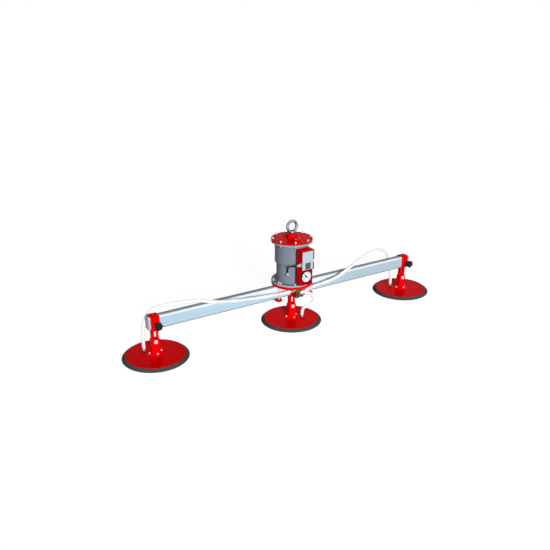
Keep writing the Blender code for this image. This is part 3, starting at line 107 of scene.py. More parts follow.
# Key, slot of the record, name, colour, roughness, specular level, variation, grain and bump
SURFACES = (
    ("red", "red_paint", "red enamel", (0.89, 0.0, 0.002), 0.3, 0.015, 0.01, 260, 0.01),
    # Painted shade: darker red for the lower front of the valve box
    ("shaded", "red_paint", "red enamel in the recess", (0.30, 0.0, 0.001), 0.4, 0.05, 0.01, 260, 0.01),
    ("grey", "grey_paint", "blue grey paint", (0.245, 0.28, 0.34), 0.45, 0.04, 0.015, 260, 0.015),
    ("flange", "grey_paint", "blue grey paint on the flanges", (0.98, 0.98, 0.98), 0.45, 0.04, 0.015,
     260, 0.015),
    ("beam", "aluminium", "satin aluminium", (0.97, 0.98, 0.99), 0.4, 0.15, 0.015, 900, 0.03),
    ("block", "aluminium", "machined aluminium", (0.6, 0.64, 0.66), 0.3, 0.5, 0.03, 700, 0.05),
    ("plate", "front_plate", "pale panel", (0.515, 0.66, 0.765), 0.42, 0.1, 0.01, 260, 0.02),
    ("cap", "cap_grey", "moulded grey", (0.52, 0.56, 0.60), 0.5, 0.5, 0.03, 900, 0.03),
    ("grille", "black_plastic", "dark grille", (0.10, 0.11, 0.12), 0.6, 0.5, 0.03, 1500, 0.05),
    ("rubber", "rubber", "rubber", (0.070, 0.080, 0.083), 0.62, 0.02, 0.05, 700, 0.08),
    ("zinc", "zinc_steel", "white zinc", (0.80, 0.85, 0.87), 0.35, 0.15, 0.03, 900, 0.03),
    ("forged", "eye_steel", "forged steel", (0.98, 0.99, 1.0), 0.3, 0.15, 0.03, 420, 0.03),
    ("bright", "zinc_steel", "bright steel", (0.98, 0.99, 1.0), 0.3, 0.1, 0.03, 900, 0.03),
    ("dull", "zinc_steel", "dull steel", (0.30, 0.32, 0.33), 0.4, 0.1, 0.03, 900, 0.03),
    ("fitting", "zinc_steel", "fitting", (0.55, 0.60, 0.62), 0.4, 0.1, 0.03, 900, 0.03),
    # Painted shade: darker red for thin strips of the box front
    ("trim", "red_paint", "red enamel on the front edge", (0.55, 0.0, 0.004), 0.3, 0.015, 0.01,
     260, 0.01),
    ("brass", "brass", "brass", (0.98, 0.99, 1.0), 0.3, 0.15, 0.03, 600, 0.04),
    ("tan", "brass", "tan barb", (0.56, 0.40, 0.25), 0.4, 0.5, 0.03, 600, 0.03),
    ("black", "black_plastic", "black plastic", (0.016, 0.017, 0.019), 0.42, 0.12, 0.03, 1100, 0.08),
    ("cable", "black_plastic", "black tube", (0.008, 0.008, 0.009), 0.4, 0.1, 0.03, 800, 0.03),
    ("white", "dial_white", "dial white", (0.86, 0.87, 0.88), 0.6, 0.5, 0.01, 260, 0.0),
    ("ink", "black_plastic", "dial ink", (0.02, 0.022, 0.025), 0.6, 0.1, 0.03, 260, 0.0),
    # Painted shade: the dark line at the foot of the jacket
    ("seam", "grey_paint", "seam line", (0.08, 0.09, 0.10), 0.6, 0.5, 0.03, 600, 0.03),
    ("vent", "black_plastic", "vent mesh", (0.06, 0.066, 0.073), 0.6, 0.5, 0.03, 1500, 0.15),
    ("hose", "clear_hose", "translucent hose", (0.985, 0.99, 1.0), 0.35, 0.1, 0.005, 420, 0.02),
    ("glass", "dial_white", "clear glass", (1, 1, 1), 0.03, 0.5, 0.0, 260, 0.0),
)
# The other measures and sockets of some of them
EXTRAS = {
    "beam": {"stretch": (0.02, 1, 1), "relief": 0.05 * MM},
    "block": {"Metallic": 0.9},
    "zinc": {"Metallic": 0.05},
    "tan": {"Metallic": 0.1},
    # The hose's emission is a painted glow that makes it whiter on its darker side
    "hose": {"Transmission Weight": 0.25, "IOR": 1.1, "Emission Color": (1, 1, 1, 1),
             "Emission Strength": 0.06},
    "glass": {"Transmission Weight": 1.0, "IOR": 1.02, "Alpha": 0.12},
}
# A direction, then the tints of faces that look -1, away from it, to 1, straight that way
FACE_TINTS = {
    # Flanges: the rims lighter than the top and bottom faces
    "flange": (UP, (
        (-0.5, (0.24, 0.275, 0.335)), (-0.3, (0.37, 0.46, 0.50)), (0.3, (0.37, 0.46, 0.50)),
        (0.5, (0.24, 0.275, 0.335)),
    )),
    # Beam: darker underside and lower rounded corner as painted shade, with a red cast on the corner
    "beam": (UP, (
        (-1.0, (0.30, 0.36, 0.40)), (-0.9, (0.20, 0.11, 0.11)), (-0.2, (0.20, 0.11, 0.11)),
        (-0.05, (0.83, 0.90, 0.925)), (0.1, (0.83, 0.90, 0.925)), (0.25, (0.90, 0.97, 1.0)),
        (1.0, (0.90, 0.97, 1.0)),
    )),
    # Forged eye, bright steel and brass: painted highlight on the faces turned the last way above,
    # painted shade on faces turned from it
    "forged": (PAINTED_HIGHLIGHT_SIDE, (
        (0.3, (0.03, 0.032, 0.035)), (0.6, (0.05, 0.055, 0.06)), (0.8, (0.105, 0.116, 0.124)),
        (0.92, (0.68, 0.72, 0.75)), (1.0, (0.24, 0.265, 0.28)),
    )),
    "bright": (PAINTED_HIGHLIGHT_SIDE, (
        (0.0, (0.10, 0.11, 0.12)), (0.45, (0.28, 0.31, 0.33)), (0.66, (0.95, 0.97, 1.0)),
        (1.0, (0.98, 0.99, 1.0)),
    )),
    "brass": (PAINTED_HIGHLIGHT_SIDE, (
        (0.1, (0.015, 0.010, 0.003)), (0.6, (0.035, 0.022, 0.007)), (0.85, (0.13, 0.08, 0.024)),
        (0.95, (0.26, 0.17, 0.06)), (0.985, (0.60, 0.46, 0.24)), (1.0, (0.17, 0.11, 0.035)),
    )),
}

AMBIENT = 0.07
# Name, strength, degrees round from the front and up, and the angle of the sun
LIGHTS = (("key", 3.2, -16, 20, 15), ("fill", 2.4, 147, 1, 4))

# Corners, centre and size of the box round a node
Box = namedtuple("Box", "low high x y z width depth height")


def measure(node):
    """The box round a node of the frame."""
    low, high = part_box(node)
    centre = [(start + end) / 2 for start, end in zip(low, high)]
    return Box(low, high, *centre, *[end - start for start, end in zip(low, high)])


def mm(points, x=0.0, y=0.0):
    """Points of an outline, given in millimetres from one of its places."""
    return [(x + right * MM, y + up * MM) for right, up in points]


def at(x=0.0, y=0.0, z=0.0):
    """A placement without a turn."""
    return Matrix.Translation((x, y, z))


def turned(angle, axis="Z"):
    """A turn about an axis by degrees."""
    return Matrix.Rotation(radians(angle), 4, axis)


def facing_front(x=0.0, y=0.0, z=0.0):
    """A placement whose own +Z points to the front, -Y."""
    return at(x, y, z) @ turned(90, "X")


def facing_side(x=0.0, y=0.0, z=0.0, turn=0.0):
    """A placement whose own +Z points along +X, turned about the vertical by degrees."""
    return at(x, y, z) @ turned(turn) @ turned(90, "Y")


def facing_down(x=0.0, y=0.0, z=0.0):
    """A placement whose own +Z points down."""
    return at(x, y, z) @ turned(180, "X")


def moved(mesh, place):
    """The same mesh, put somewhere."""
    bmesh.ops.transform(mesh, matrix=place, verts=mesh.verts)
    return mesh


def revolve(profile, segments=96):
    """Turn (radius, height) points about Z. A profile that starts off the axis is a ring."""
    mesh = bmesh.new()
    verts = [mesh.verts.new((radius, 0, height)) for radius, height in profile]
    edges = [mesh.edges.new(pair) for pair in zip(verts, verts[1:])]
    if profile[0][0] > 0:
        edges.append(mesh.edges.new((verts[-1], verts[0])))
    bmesh.ops.spin(
        mesh, geom=verts + edges, cent=(0, 0, 0), axis=(0, 0, 1),
        angle=2 * pi, steps=segments, use_merge=True,
    )
    bmesh.ops.remove_doubles(mesh, verts=mesh.verts, dist=1e-6)
    bmesh.ops.recalc_face_normals(mesh, faces=mesh.faces)
    return mesh


def extrude(outline, depth):
    """Extrude a closed (x, y) outline up along Z by a depth."""
    mesh = bmesh.new()
    face = mesh.faces.new([mesh.verts.new((x, y, 0)) for x, y in outline])
    grown = bmesh.ops.extrude_face_region(mesh, geom=[face])
    top = [part for part in grown["geom"] if isinstance(part, bmesh.types.BMVert)]
    bmesh.ops.translate(mesh, vec=(0, 0, depth), verts=top)
    bmesh.ops.recalc_face_normals(mesh, faces=mesh.faces)
    return mesh


def loft(rings):
    """Bridge rings of equal point counts and cap both ends."""
    mesh = bmesh.new()
    loops = [[mesh.verts.new(point) for point in ring] for ring in rings]
    for lower, upper in zip(loops, loops[1:]):
        for index in range(len(lower)):
            after = (index + 1) % len(lower)
            mesh.faces.new((lower[index], lower[after], upper[after], upper[index]))
    mesh.faces.new(loops[0])
    mesh.faces.new(loops[-1])
    bmesh.ops.recalc_face_normals(mesh, faces=mesh.faces)
    return mesh


def rectangle(width, height, corner=0.0, steps=6, other=None):
    """The outline of a rectangle round its centre, with round corners, or others on the -X side."""
    quarters = ((1, 1), (-1, 1), (-1, -1), (1, -1))
    if not corner:
        return [(sx * width / 2, sy * height / 2) for sx, sy in quarters]
    points = []
    for quarter, (sx, sy) in enumerate(quarters):
        radius = other if other and sx < 0 else corner
        for step in range(steps + 1):
            angle = (quarter + step / steps) * pi / 2
            points.append((
                sx * (width / 2 - radius) + radius * cos(angle),
                sy * (height / 2 - radius) + radius * sin(angle),
            ))
    return points


def circle(count, radius, start=0.5):
    """Points round Z, the first one a share of a step from +X."""
    angles = [2 * pi * (step + start) / count for step in range(count)]
    return [(radius * cos(angle), radius * sin(angle)) for angle in angles]


def rod(diameter, bottom, top, sides=48):
    """A plain round bar along Z."""
    return ring(0, diameter, bottom, top, sides)


def ring(inner, outer, bottom, top, sides=144):
    """A flat ring or a tube along Z, from its two diameters."""
    return revolve(
        [(inner / 2, bottom), (outer / 2, bottom), (outer / 2, top), (inner / 2, top)], sides
    )


def pin(diameter, start, end, sides, x, y, z):
    """A round bar that points to the front."""
    return moved(rod(diameter, start, end, sides), facing_front(x, y, z))


def sheet(width, height, thickness, x, y, z, corner=0.0, steps=6):
    """A flat plate that faces the front, from its rear face on."""
    return moved(extrude(rectangle(width, height, corner, steps), thickness), facing_front(x, y, z))


def nut(across, low, high):
    """A hexagon with its corners taken off at both ends."""
    chamfer = (high - low) * 0.16
    rings = []
    for height, scale in ((low, 0.93), (low + chamfer, 1), (high - chamfer, 1), (high, 0.93)):
        corners = circle(6, across / 2 / cos(pi / 6))
        rings.append([(x * scale, y * scale, height) for x, y in corners])
    return loft(rings)


def thread(diameter, pitch, low, high, sides=20):
    """A threaded bar: ridges one pitch apart between two flat ends."""
    outer, root = diameter / 2, diameter / 2 - pitch * 0.5
    count = max(1, round((high - low) / pitch))
    step = (high - low) / count
    profile = [(0, low), (root, low)]
    for index in range(count):
        profile += [(outer, low + step * (index + 0.5)), (root, low + step * (index + 1))]
    profile.append((0, high))
    return revolve(profile, sides)


def stack(place, across, height, washer=0.0, stud=0.0):
    """A washer, a hexagon and the end of the stud in it, in millimetres, up from a place."""
    level = WASHER if washer else 0.0
    top = level + height * MM
    parts = [nut(across * MM, level, top)]
    if washer:
        parts.insert(0, rod(washer * MM, 0, level, 32))
    if stud:
        parts.append(thread(stud * MM, STUD_PITCH, level + height * MM / 2, top + STUD_PROUD))
    return [moved(part, place) for part in parts]


def joined(parts):
    """Several meshes as one, still separate shells."""
    whole = bmesh.new()
    for part in parts:
        data = bpy.data.meshes.new("shell")
        part.to_mesh(data)
        part.free()
        whole.from_mesh(data)
        bpy.data.meshes.remove(data)
    return whole


def evaluated_mesh(piece):
    """The mesh of an object with its modifiers applied."""
    bpy.context.view_layer.update()
    graph = bpy.context.evaluated_depsgraph_get()
    return bpy.data.meshes.new_from_object(piece.evaluated_get(graph), depsgraph=graph)


def new_object(name, data):
    """An object in the scene."""
    result = bpy.data.objects.new(name, data)
    bpy.context.scene.collection.objects.link(result)
    return result


def link(name, mesh):
    """A bmesh as a smooth object in the scene."""
    data = bpy.data.meshes.new(name)
    mesh.to_mesh(data)
    mesh.free()
    data.shade_smooth()
    return new_object(name, data)


def add(name, mesh, finish, node="", body="frame", cuts=(), welds=(), bevel=0.0, segments=2, sharp=32):
    """Shape a piece with its cuts, welds and rounded edges, and hang it on a body."""
    piece = link(name, mesh)
    helpers = []
    for operation, tools in (("UNION", welds), ("DIFFERENCE", cuts)):
        for tool in tools:
            helper = link(f"{name}_tool", tool)
            helper.hide_render = True
            helpers.append(helper)
            modifier = piece.modifiers.new("shape", "BOOLEAN")
            modifier.operation = operation
            modifier.solver = "EXACT"
            modifier.object = helper
    if bevel:
        modifier = piece.modifiers.new("edges", "BEVEL")
        modifier.width = bevel
        modifier.segments = segments
        modifier.limit_method = "ANGLE"
        modifier.angle_limit = radians(sharp)
        piece.modifiers.new("normals", "WEIGHTED_NORMAL")
    if piece.modifiers:
        shaped = evaluated_mesh(piece)
        piece.modifiers.clear()
        old = piece.data
        piece.data = shaped
        bpy.data.meshes.remove(old)
        shaped.name = name
    for helper in helpers:
        bpy.data.objects.remove(helper)
    if not bevel:
        piece.data.set_sharp_from_angle(angle=radians(sharp))
    dress(piece, finish)
    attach(piece, body)
    if node:
        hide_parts(node)


def dress(piece, finish):
    """Give a piece one of the finishes."""
    material, slot = FINISHES[finish]
    piece.data.materials.clear()
    piece.data.materials.append(material)


def feed(tree, node, inputs):
    """Set the inputs of a shader node: each to a plain value or to the output of another."""
    for socket, value in inputs.items():
        if isinstance(value, bpy.types.NodeSocket):
            tree.links.new(value, node.inputs[socket])
        else:
            node.inputs[socket].default_value = value


def put(tree, kind, inputs, output=0, operation=None):
    """Add a shader node with its inputs. Gives one of its outputs."""
    node = tree.nodes.new(kind)
    if operation:
        node.operation = operation
    feed(tree, node, inputs)
    return node.outputs[output]


def mixed(tree, first, second, share=1, blend="MIX"):
    """Two colours mixed by a share."""
    mix = tree.nodes.new("ShaderNodeMix")
    mix.data_type, mix.blend_type = "RGBA", blend
    feed(tree, mix, {0: share, 6: first, 7: second})
    return mix.outputs[2]


def surface(
    name, colour, roughness, gleam, variation, grain, bump, stretch=(1, 1, 1), relief=0.2 * MM,
    **sockets,
):
    """A Principled finish whose colour and gloss vary over a fine grain."""
    material = bpy.data.materials.new(name)
    material.use_nodes = True
    tree = material.node_tree
    place = put(tree, "ShaderNodeTexCoord", {}, "Object")
    scaled = put(tree, "ShaderNodeMapping", {"Vector": place, "Scale": stretch})
    noise = put(tree, "ShaderNodeTexNoise", {"Vector": scaled, "Scale": grain, "Detail": 4}, "Fac")
    broad = put(tree, "ShaderNodeTexNoise", {"Vector": place, "Scale": 9}, "Fac")
    halved = put(tree, "ShaderNodeMath", {0: broad, 1: 0.5}, 0, "MULTIPLY")
    both = put(tree, "ShaderNodeMath", {0: noise, 1: 0.5, 2: halved}, 0, "MULTIPLY_ADD")
    dark = (*[part * (1 - 2 * variation) for part in colour], 1)
    light = (*[min(1, part * (1 + 2 * variation)) for part in colour], 1)
    gloss = put(tree, "ShaderNodeMapRange", {
        "Value": both, "To Min": max(0.0, roughness - 0.05), "To Max": roughness + 0.05}, "Result")
    normal = put(tree, "ShaderNodeBump", {
        "Height": noise, "Strength": bump, "Distance": relief}, "Normal")
    # A colour that is the same all over goes straight to the shader
    shade = mixed(tree, dark, light, both) if variation else light
    feed(tree, tree.nodes["Principled BSDF"], {
        "Base Color": shade, "Roughness": gloss, "Normal": normal, "Specular IOR Level": gleam,
        **sockets})
    return material


def colour_ramp(tree, value, low, high, stops):
    """The colour at a value between its lowest and its highest, from (value, colour) stops."""
    share = put(tree, "ShaderNodeMapRange", {"Value": value, "From Min": low, "From Max": high})
    ramp = tree.nodes.new("ShaderNodeValToRGB")
    feed(tree, ramp, {0: share})
    elements = ramp.color_ramp.elements
    while len(elements) < len(stops):
        elements.new(1)
    for element, (stop, colour) in zip(elements, stops):
        element.position = (stop - low) / (high - low)
        element.color = (*colour, 1)
    return ramp.outputs[0]


def tint(tree, colour, share=1):
    """Multiply a finish by another colour, everywhere or by a share."""
    base = tree.nodes["Principled BSDF"].inputs["Base Color"]
    tree.links.new(mixed(tree, base.links[0].from_socket, colour, share, "MULTIPLY"), base)


def by_facing(tree, direction, stops):
    """The colour of each face of the object by how far it looks one way, from -1 to 1."""
    normal = put(tree, "ShaderNodeTexCoord", {}, "Normal")
    share = put(tree, "ShaderNodeVectorMath", {0: normal, 1: Vector(direction).normalized()}, "Value",
                "DOT_PRODUCT")
    return colour_ramp(tree, share, -1, 1, stops)


def by_place(tree, axis, low, high, stops):
    """The colour along one axis of the object, from (metres, colour) stops."""
    place = put(tree, "ShaderNodeTexCoord", {}, "Object")
    return colour_ramp(tree, put(tree, "ShaderNodeSeparateXYZ", {0: place}, axis), low, high, stops)


def paint_beam_light_and_shade(tree):
    """Darken the rear of the beam's top as painted shade behind a painted highlight along its front, and
    most of its front away from the cylinder, which leaves a painted pale reflection on the upper front
    next to the cylinder; the right end of the front gets a painted reddish sheen.
    """
    black, white, blue = (0, 0, 0), (1, 1, 1), (0.59, 0.767, 0.876)
    rear, painted_reddish_sheen = (0.31, 0.32, 0.295), (0.94, 0.865, 0.83)
    # Painted highlight along the front of the top, painted shade over its rear
    on_top = by_facing(tree, UP, [(0.4, black), (0.8, white)])
    tint(tree, by_place(tree, "Y", -0.03, 0.03, [
        (-0.0175, white), (-0.015, (0.72, 0.88, 0.93)), (-0.010, (0.50, 0.56, 0.57)),
        (-0.006, rear), (0.03, rear),
    ]), on_top)
    # A painted reddish sheen on the front towards the right end
    on_front = by_facing(tree, FRONT, [(0.96, black), (0.995, white)])
    tint(tree, by_place(tree, "X", -1, 1, [(0.2, white), (0.5, painted_reddish_sheen), (1.0, painted_reddish_sheen)]), on_front)
    # Painted reflection: the upper half of the front is paler next to the cylinder
    reflection_next_to_cylinder = by_place(tree, "X", -1, 1, [(-0.34, blue), (-0.2, white), (0.2, white), (0.34, blue)])
    upper = by_place(tree, "Z", 0.18, 0.28, [(0.226, blue), (0.238, white)])
    tint(tree, mixed(tree, reflection_next_to_cylinder, upper, 1, "DARKEN"), on_front)


def make_finishes():
    """Every finish: a material and the record's slot that it stands for."""
    finishes = {}
    for key, slot, *values in SURFACES:
        material = surface(*values, **EXTRAS.get(key, {}))
        if key in FACE_TINTS:
            tint(material.node_tree, by_facing(material.node_tree, *FACE_TINTS[key]))
        finishes[key] = material, slot
    paint_beam_light_and_shade(finishes["beam"][0].node_tree)
    return finishes


def make_camera():
    """The photograph's view."""
    data = bpy.data.cameras.new("camera")
    data.lens = CAMERA_LENS
    data.sensor_width = 36
    data.sensor_fit = "HORIZONTAL"
    data.clip_start = 0.05
    camera = new_object("camera", data)
    camera.location = CAMERA_PLACE
    camera.rotation_euler = Vector(CAMERA_LOOK).to_track_quat("-Z", "Y").to_euler()
    bpy.context.scene.camera = camera


def knot_slope(before, here, after):
    """The slope of the smooth curve at a knot, from the knots on both sides of it."""
    back = (here - before).length ** 0.5
    ahead = (after - here).length ** 0.5
    return (here - before) / back - (after - before) / (back + ahead) + (after - here) / ahead


def smooth_line(route, first=0, last=None):
    """Close points on the smooth curve through a route, from one of its knots to another."""
    last = len(route) - 1 if last is None else last
    knots = [Vector([value * MM for value in point]) for point in route]
    padded = [2 * knots[0] - knots[1]] + knots + [2 * knots[-1] - knots[-2]]
    slopes = [knot_slope(*padded[index:index + 3]) for index in range(len(knots))]
    line = []
    for index in range(first, last):
        start, end = knots[index], knots[index + 1]
        span = (end - start).length ** 0.5
        for step in range(CURVE_STEPS):
            t = step / CURVE_STEPS
            line.append(
                (2 * t**3 - 3 * t**2 + 1) * start + (t**3 - 2 * t**2 + t) * span * slopes[index]
                + (3 * t**2 - 2 * t**3) * end + (t**3 - t**2) * span * slopes[index + 1]
            )
    line.append(knots[last])
    return line


def tube(line, radius, sides=HOSE_SIDES):
    """A round tube along a line of points, turning as little as it can."""
    rings = []
    side = None
    for index, point in enumerate(line):
        before = line[max(0, index - 1)]
        after = line[min(len(line) - 1, index + 1)]
        along = (after - before).normalized()
        if side is None:
            side = along.cross(Vector(UP)).normalized()
        side = (side - along * side.dot(along)).normalized()
        up = along.cross(side)
        rings.append([
            point + radius * (cos(2 * pi * step / sides) * side + sin(2 * pi * step / sides) * up)
            for step in range(sides)
        ])
    return loft(rings)


def build_hoses():
    """The vacuum hoses, each a tube along the smooth curve through its route."""
    hoses = (
        ("hose_left_run", LEFT_ROUTE, 0, LEFT_SPLIT, "frame", "left_holder"),
        ("hose_left_drop", LEFT_ROUTE, LEFT_SPLIT, None, "left_holder", "left_cup"),
        ("hose_right_run", RIGHT_ROUTE, 0, RIGHT_SPLIT, "frame", "right_holder"),
        ("hose_right_drop", RIGHT_ROUTE, RIGHT_SPLIT, None, "right_holder", "right_cup"),
        ("hose_middle", MIDDLE_ROUTE, 0, None, "frame", "middle_cup"),
    )
    for node, route, first, last, here, there in hoses:
        line = smooth_line(route, first, last)
        piece = link(f"{node}_tube", tube(line, HOSE_DIAMETER / 2))
        dress(piece, "hose")
        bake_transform(piece)
        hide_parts(node)
    line = smooth_line(PILOT_ROUTE)
    add("pilot_hose_tube", tube(line, PILOT_DIAMETER / 2, 16), "cable", "pilot_hose")


def add_ring(name, node, inner, outer, finish, sides=144, bevel=EDGE):
    """A ring of two diameters, in the place of a node and as high. Gives both of its levels."""
    low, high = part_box(node)
    add(name, ring(inner, outer, low.z, high.z, sides), finish, node, bevel=bevel)
    return low.z, high.z


def add_bolt_ring(name, facing, level, across, height, stud=0.0):
    """Hexagons all round a flange, on it or under it."""
    parts = []
    for x, y in circle(8, BOLT_CIRCLE):
        outward = Matrix.Rotation(atan2(y, x), 4, "Z")
        parts += stack(facing(x, y, level) @ outward, across, height, stud=stud)
    add(name, joined(parts), "zinc")


def build_cylinder():
    """Plates, flanges, barrel and jacket, with their rings of bolts."""
    width, inner = 2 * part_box("base_plate")[1].x, BARREL_DIAMETER / 2
    under, _ = add_ring("base_plate_round", "base_plate", 0, width, "red")
    _, floor = add_ring("lower_flange_ring", "lower_flange", BARREL_DIAMETER, width, "flange")
    add_ring("barrel_tube", "cylinder_barrel", BORE_DIAMETER, BARREL_DIAMETER, "grey", bevel=0)
    add("barrel_weld", revolve(mm([(0, 0), (3, 0), (1.05, 1.05), (0, 3)], inner, floor), 144), "grey")
    low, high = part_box("cylinder_jacket")
    outer = high.x
    lip = mm([(-2.5, 0), (0, 2.5)], outer, low.z)
    add("jacket_shell", revolve([(inner, low.z), *lip, (outer, high.z), (inner, high.z)], 144), "grey",
        "cylinder_jacket", bevel=0.5 * MM)
    # A dark ring under the foot of the jacket, painted shade along its lower edge
    add("jacket_shade_line", revolve(
        mm([(-2.7, 1), (-1.5, 1), (0.2, 2.5), (0.2, 3.7), (-1, 3.7)], outer, low.z), 144), "seam")
    nuts_under, _ = add_ring("upper_flange_ring", "upper_flange", BARREL_DIAMETER, width, "flange")
    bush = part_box("guide_bush")[1].x
    _, top = add_ring("lid_plate", "cylinder_lid", 2 * bush, width, "red")
    add_bolt_ring("lid_bolts", at, top, 10.5, 11)
    add_bolt_ring("upper_flange_nuts", facing_down, nuts_under, 11, 7, 6)
    add_bolt_ring("lower_flange_nuts", at, floor, 11, 6, 6)
    add_bolt_ring("base_plate_bolts", facing_down, under, 10, 7)


def build_guide():
    """Rod guide with its lugs, screws, bush and grub screw."""
    low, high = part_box("rod_guide")
    boss, lug, grub_z = 61 * MM, 10 * MM, low.z + 14 * MM
    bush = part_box("guide_bush")[1].x
    lugs = moved(extrude(rectangle(42 * MM, 2 * high.y, 5 * MM, 5), lug), at(0, 0, low.z))
    hole = rod(2 * bush + 0.2 * MM, low.z - MM, high.z + MM, 64)
    grub_hole = pin(6 * MM, 0, boss, 32, 0, 0, grub_z)
    add("rod_guide_body", rod(boss, low.z, high.z, 72), "red", "rod_guide", cuts=[hole, grub_hole],
        welds=[lugs], bevel=0.9 * MM)
    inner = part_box("piston_rod")[1].x + 0.2 * MM
    add_ring("guide_bush_ring", "guide_bush", 2 * inner, 2 * bush, "brass", 64, 0.4 * MM)
    screws = []
    for x, y in rectangle(28 * MM, 130 * MM):
        head = revolve(
            mm([(0, 0), (4.4, 0), (4.4, 5), (3.8, 5.8), (2.2, 5.8), (2.2, 3), (0, 3)]), 32)
        screws.append(moved(head, at(x, y, low.z + lug)))
    add("guide_screws", joined(screws), "dull")
    grub = revolve(mm([(0, 0), (3, 0), (3, 6), (1.6, 6), (1.6, 3), (0, 3)]), 24)
    add("guide_grub_screw", moved(grub, facing_front(0, -boss / 2 + 6 * MM, grub_z)), "black")


def build_lifting_rod():
    """Rod and forged lifting eye."""
    low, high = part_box("piston_rod")
    half = high.x
    tip = mm([(0, -1), (-1, 0)], half, high.z)
    add("lifting_bar", revolve([(0, low.z), (half, low.z), *tip, (0, high.z)], 64), "bright",
        "piston_rod", "lifting_rod")
    low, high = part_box("lifting_eye")
    bar = 9 * MM
    section = [(high.x - bar + x, z) for x, z in circle(28, bar, 0)]
    neck = mm([(0, 0), (18, 0), (19, 1), (19, 9.5), (17.4, 11.5), (14, 14.4), (9, 17), (0, 17)],
              0, low.z)
    bore = rod(2 * (half + 0.3 * MM), low.z - MM, low.z + 12 * MM)
    add("lifting_eye_ring", moved(revolve(section), facing_front(0, 0, high.z - high.x)), "forged",
        "lifting_eye", "lifting_rod", cuts=[bore], welds=[revolve(neck, 64)], sharp=50)


def build_beam():
    """The drawn profile with its plugged ends."""
    box = measure("beam")
    corner, wall, thickness = 8 * MM, 4 * MM, 5 * MM
    outline = rectangle(box.height, box.depth, corner, 10, 10.5 * MM)
    inside = rectangle(box.height - 2 * wall, box.depth - 2 * wall, corner - wall)
    start = box.low.x
    add("beam_profile", moved(extrude(outline, box.width), facing_side(start, 0, box.z)), "beam",
        "beam", cuts=[moved(extrude(inside, 2 * box.width), facing_side(2 * start, 0, box.z))],
        sharp=25)
    for side, sign, turn in (("left", -1, 180), ("right", 1, 0)):
        low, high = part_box(f"beam_cap_{side}")
        outer = low.x if sign < 0 else high.x
        place = facing_side(outer - sign * thickness, 0, box.z, turn)
        add(f"end_cap_{side}", moved(extrude(outline, thickness), place), "cap", f"beam_cap_{side}",
            bevel=1.6 * MM, segments=3)
        screws = []
        for lift in (-26 * MM, 0, 26 * MM):
            head = revolve(mm([
                (0, -1), (4.5, -1), (4.5, 0.4), (3.6, 0.9), (2, 0.9), (2, -0.5), (0, -0.5)]), 32)
            screws.append(moved(head, facing_side(outer, 0, box.z + lift, turn)))
        add(f"end_cap_screws_{side}", joined(screws), "black")


def slot_tube(x, lowest, highest):
    """The channel under a holder, open behind: its outside, its hollow and the slot in its web."""
    width, depth, wall = 44 * MM, 26 * MM, 3.5 * MM
    outside = moved(extrude(rectangle(width, depth, 2.5 * MM, 4), highest - lowest), at(x, 0, lowest))
    hollow = moved(
        extrude(rectangle(width - 2 * wall, depth), highest - lowest), at(x, wall, lowest - 2 * MM)
    )
    low, high = lowest + 6 * MM, highest - 14.6 * MM
    return outside, hollow, sheet(13 * MM, high - low, depth, x, 0, (low + high) / 2, 6.4 * MM, 8)


def build_holders():
    """The two sliding sleeves, the middle saddle and the clamp knobs."""
    beam = measure("beam")
    gap, wall, corner = 0.3 * MM, 5 * MM, 8 * MM
    grow = 2 * (gap + wall)
    outer = rectangle(beam.height + grow, beam.depth + grow, corner + wall, 8)
    hole = rectangle(beam.height + 2 * gap, beam.depth + 2 * gap, corner, 8)
    under = beam.z - beam.height / 2 - gap - wall
    for side in ("left", "right"):
        box = measure(f"{side}_sleeve")
        outside, hollow, slot = slot_tube(box.x, box.low.z, under + wall / 2)
        web = (box.x, -beam.depth / 2 - gap - wall, beam.z)
        boss, bore = pin(16 * MM, -2 * MM, 7 * MM, 40, *web), pin(10.6 * MM, -10 * MM, 20 * MM, 32, *web)
        passage = moved(extrude(hole, 2 * box.width), facing_side(box.x - box.width, 0, beam.z))
        add(f"{side}_sleeve_body", moved(extrude(outer, box.width), facing_side(box.low.x, 0, beam.z)),
            "red", f"{side}_sleeve", f"{side}_holder", welds=[boss, outside],
            cuts=[passage, hollow, slot, bore], bevel=EDGE)
        build_knob(side, box.x, beam.z)
    box = measure("middle_saddle")
    outside, hollow, slot = slot_tube(0, box.low.z, under + wall / 2)
    block = moved(extrude(rectangle(box.high.z - under, beam.depth + grow), box.width),
                  facing_side(-box.width / 2, 0, (box.high.z + under) / 2))
    passage = moved(extrude(hole, 2 * box.width), facing_side(-box.width, 0, beam.z))
    add("middle_saddle_body", block, "red", "middle_saddle", welds=[outside],
        cuts=[passage, hollow, slot], bevel=EDGE)


def build_knob(side, x, height):
    """A moulded knob with seven lobes, its neck and its stud."""
    box = measure(f"{side}_knob")
    thickness, lobes, steps, depth, reach = 20 * MM, 7, 84, 0.16, 29 * MM
    levels = [(0, 0.76), (0.05, 0.86), (0.12, 0.93), (0.22, 0.985), (0.35, 1), (0.72, 1),
              (0.84, 0.975), (0.93, 0.91), (0.98, 0.83), (1, 0.74)]
    rings = []
    for share, scale in levels:
        points = []
        for step in range(steps):
            angle = 2 * pi * step / steps
            dip = depth * ((1 - cos(lobes * angle)) / 2) ** 1.4
            radius = box.height / 2 * scale * (1 - dip)
            points.append((radius * cos(angle), radius * sin(angle), share * thickness))
        rings.append(points)
    place = facing_front(x, box.low.y + thickness, height)
    neck = moved(revolve(
        mm([(0, -29), (7.4, -29), (8, -28.4), (8, -3), (11, 0.5), (11, 4), (0, 4)]), 40), place)
    dish = moved(revolve(mm([(0, 18.5), (12, 18.5), (13, 21), (0, 21)]), 48), place)
    body = f"{side}_clamp_knob"
    add(f"{side}_knob_head", moved(loft(rings), place), "black", f"{side}_knob", body, welds=[neck],
        cuts=[dish], sharp=40)
    stud = moved(thread(10 * MM, 1.5 * MM, -reach - 14 * MM, 2 * MM - reach, 24), place)
    add(f"{side}_knob_stud", stud, "zinc", body=body)


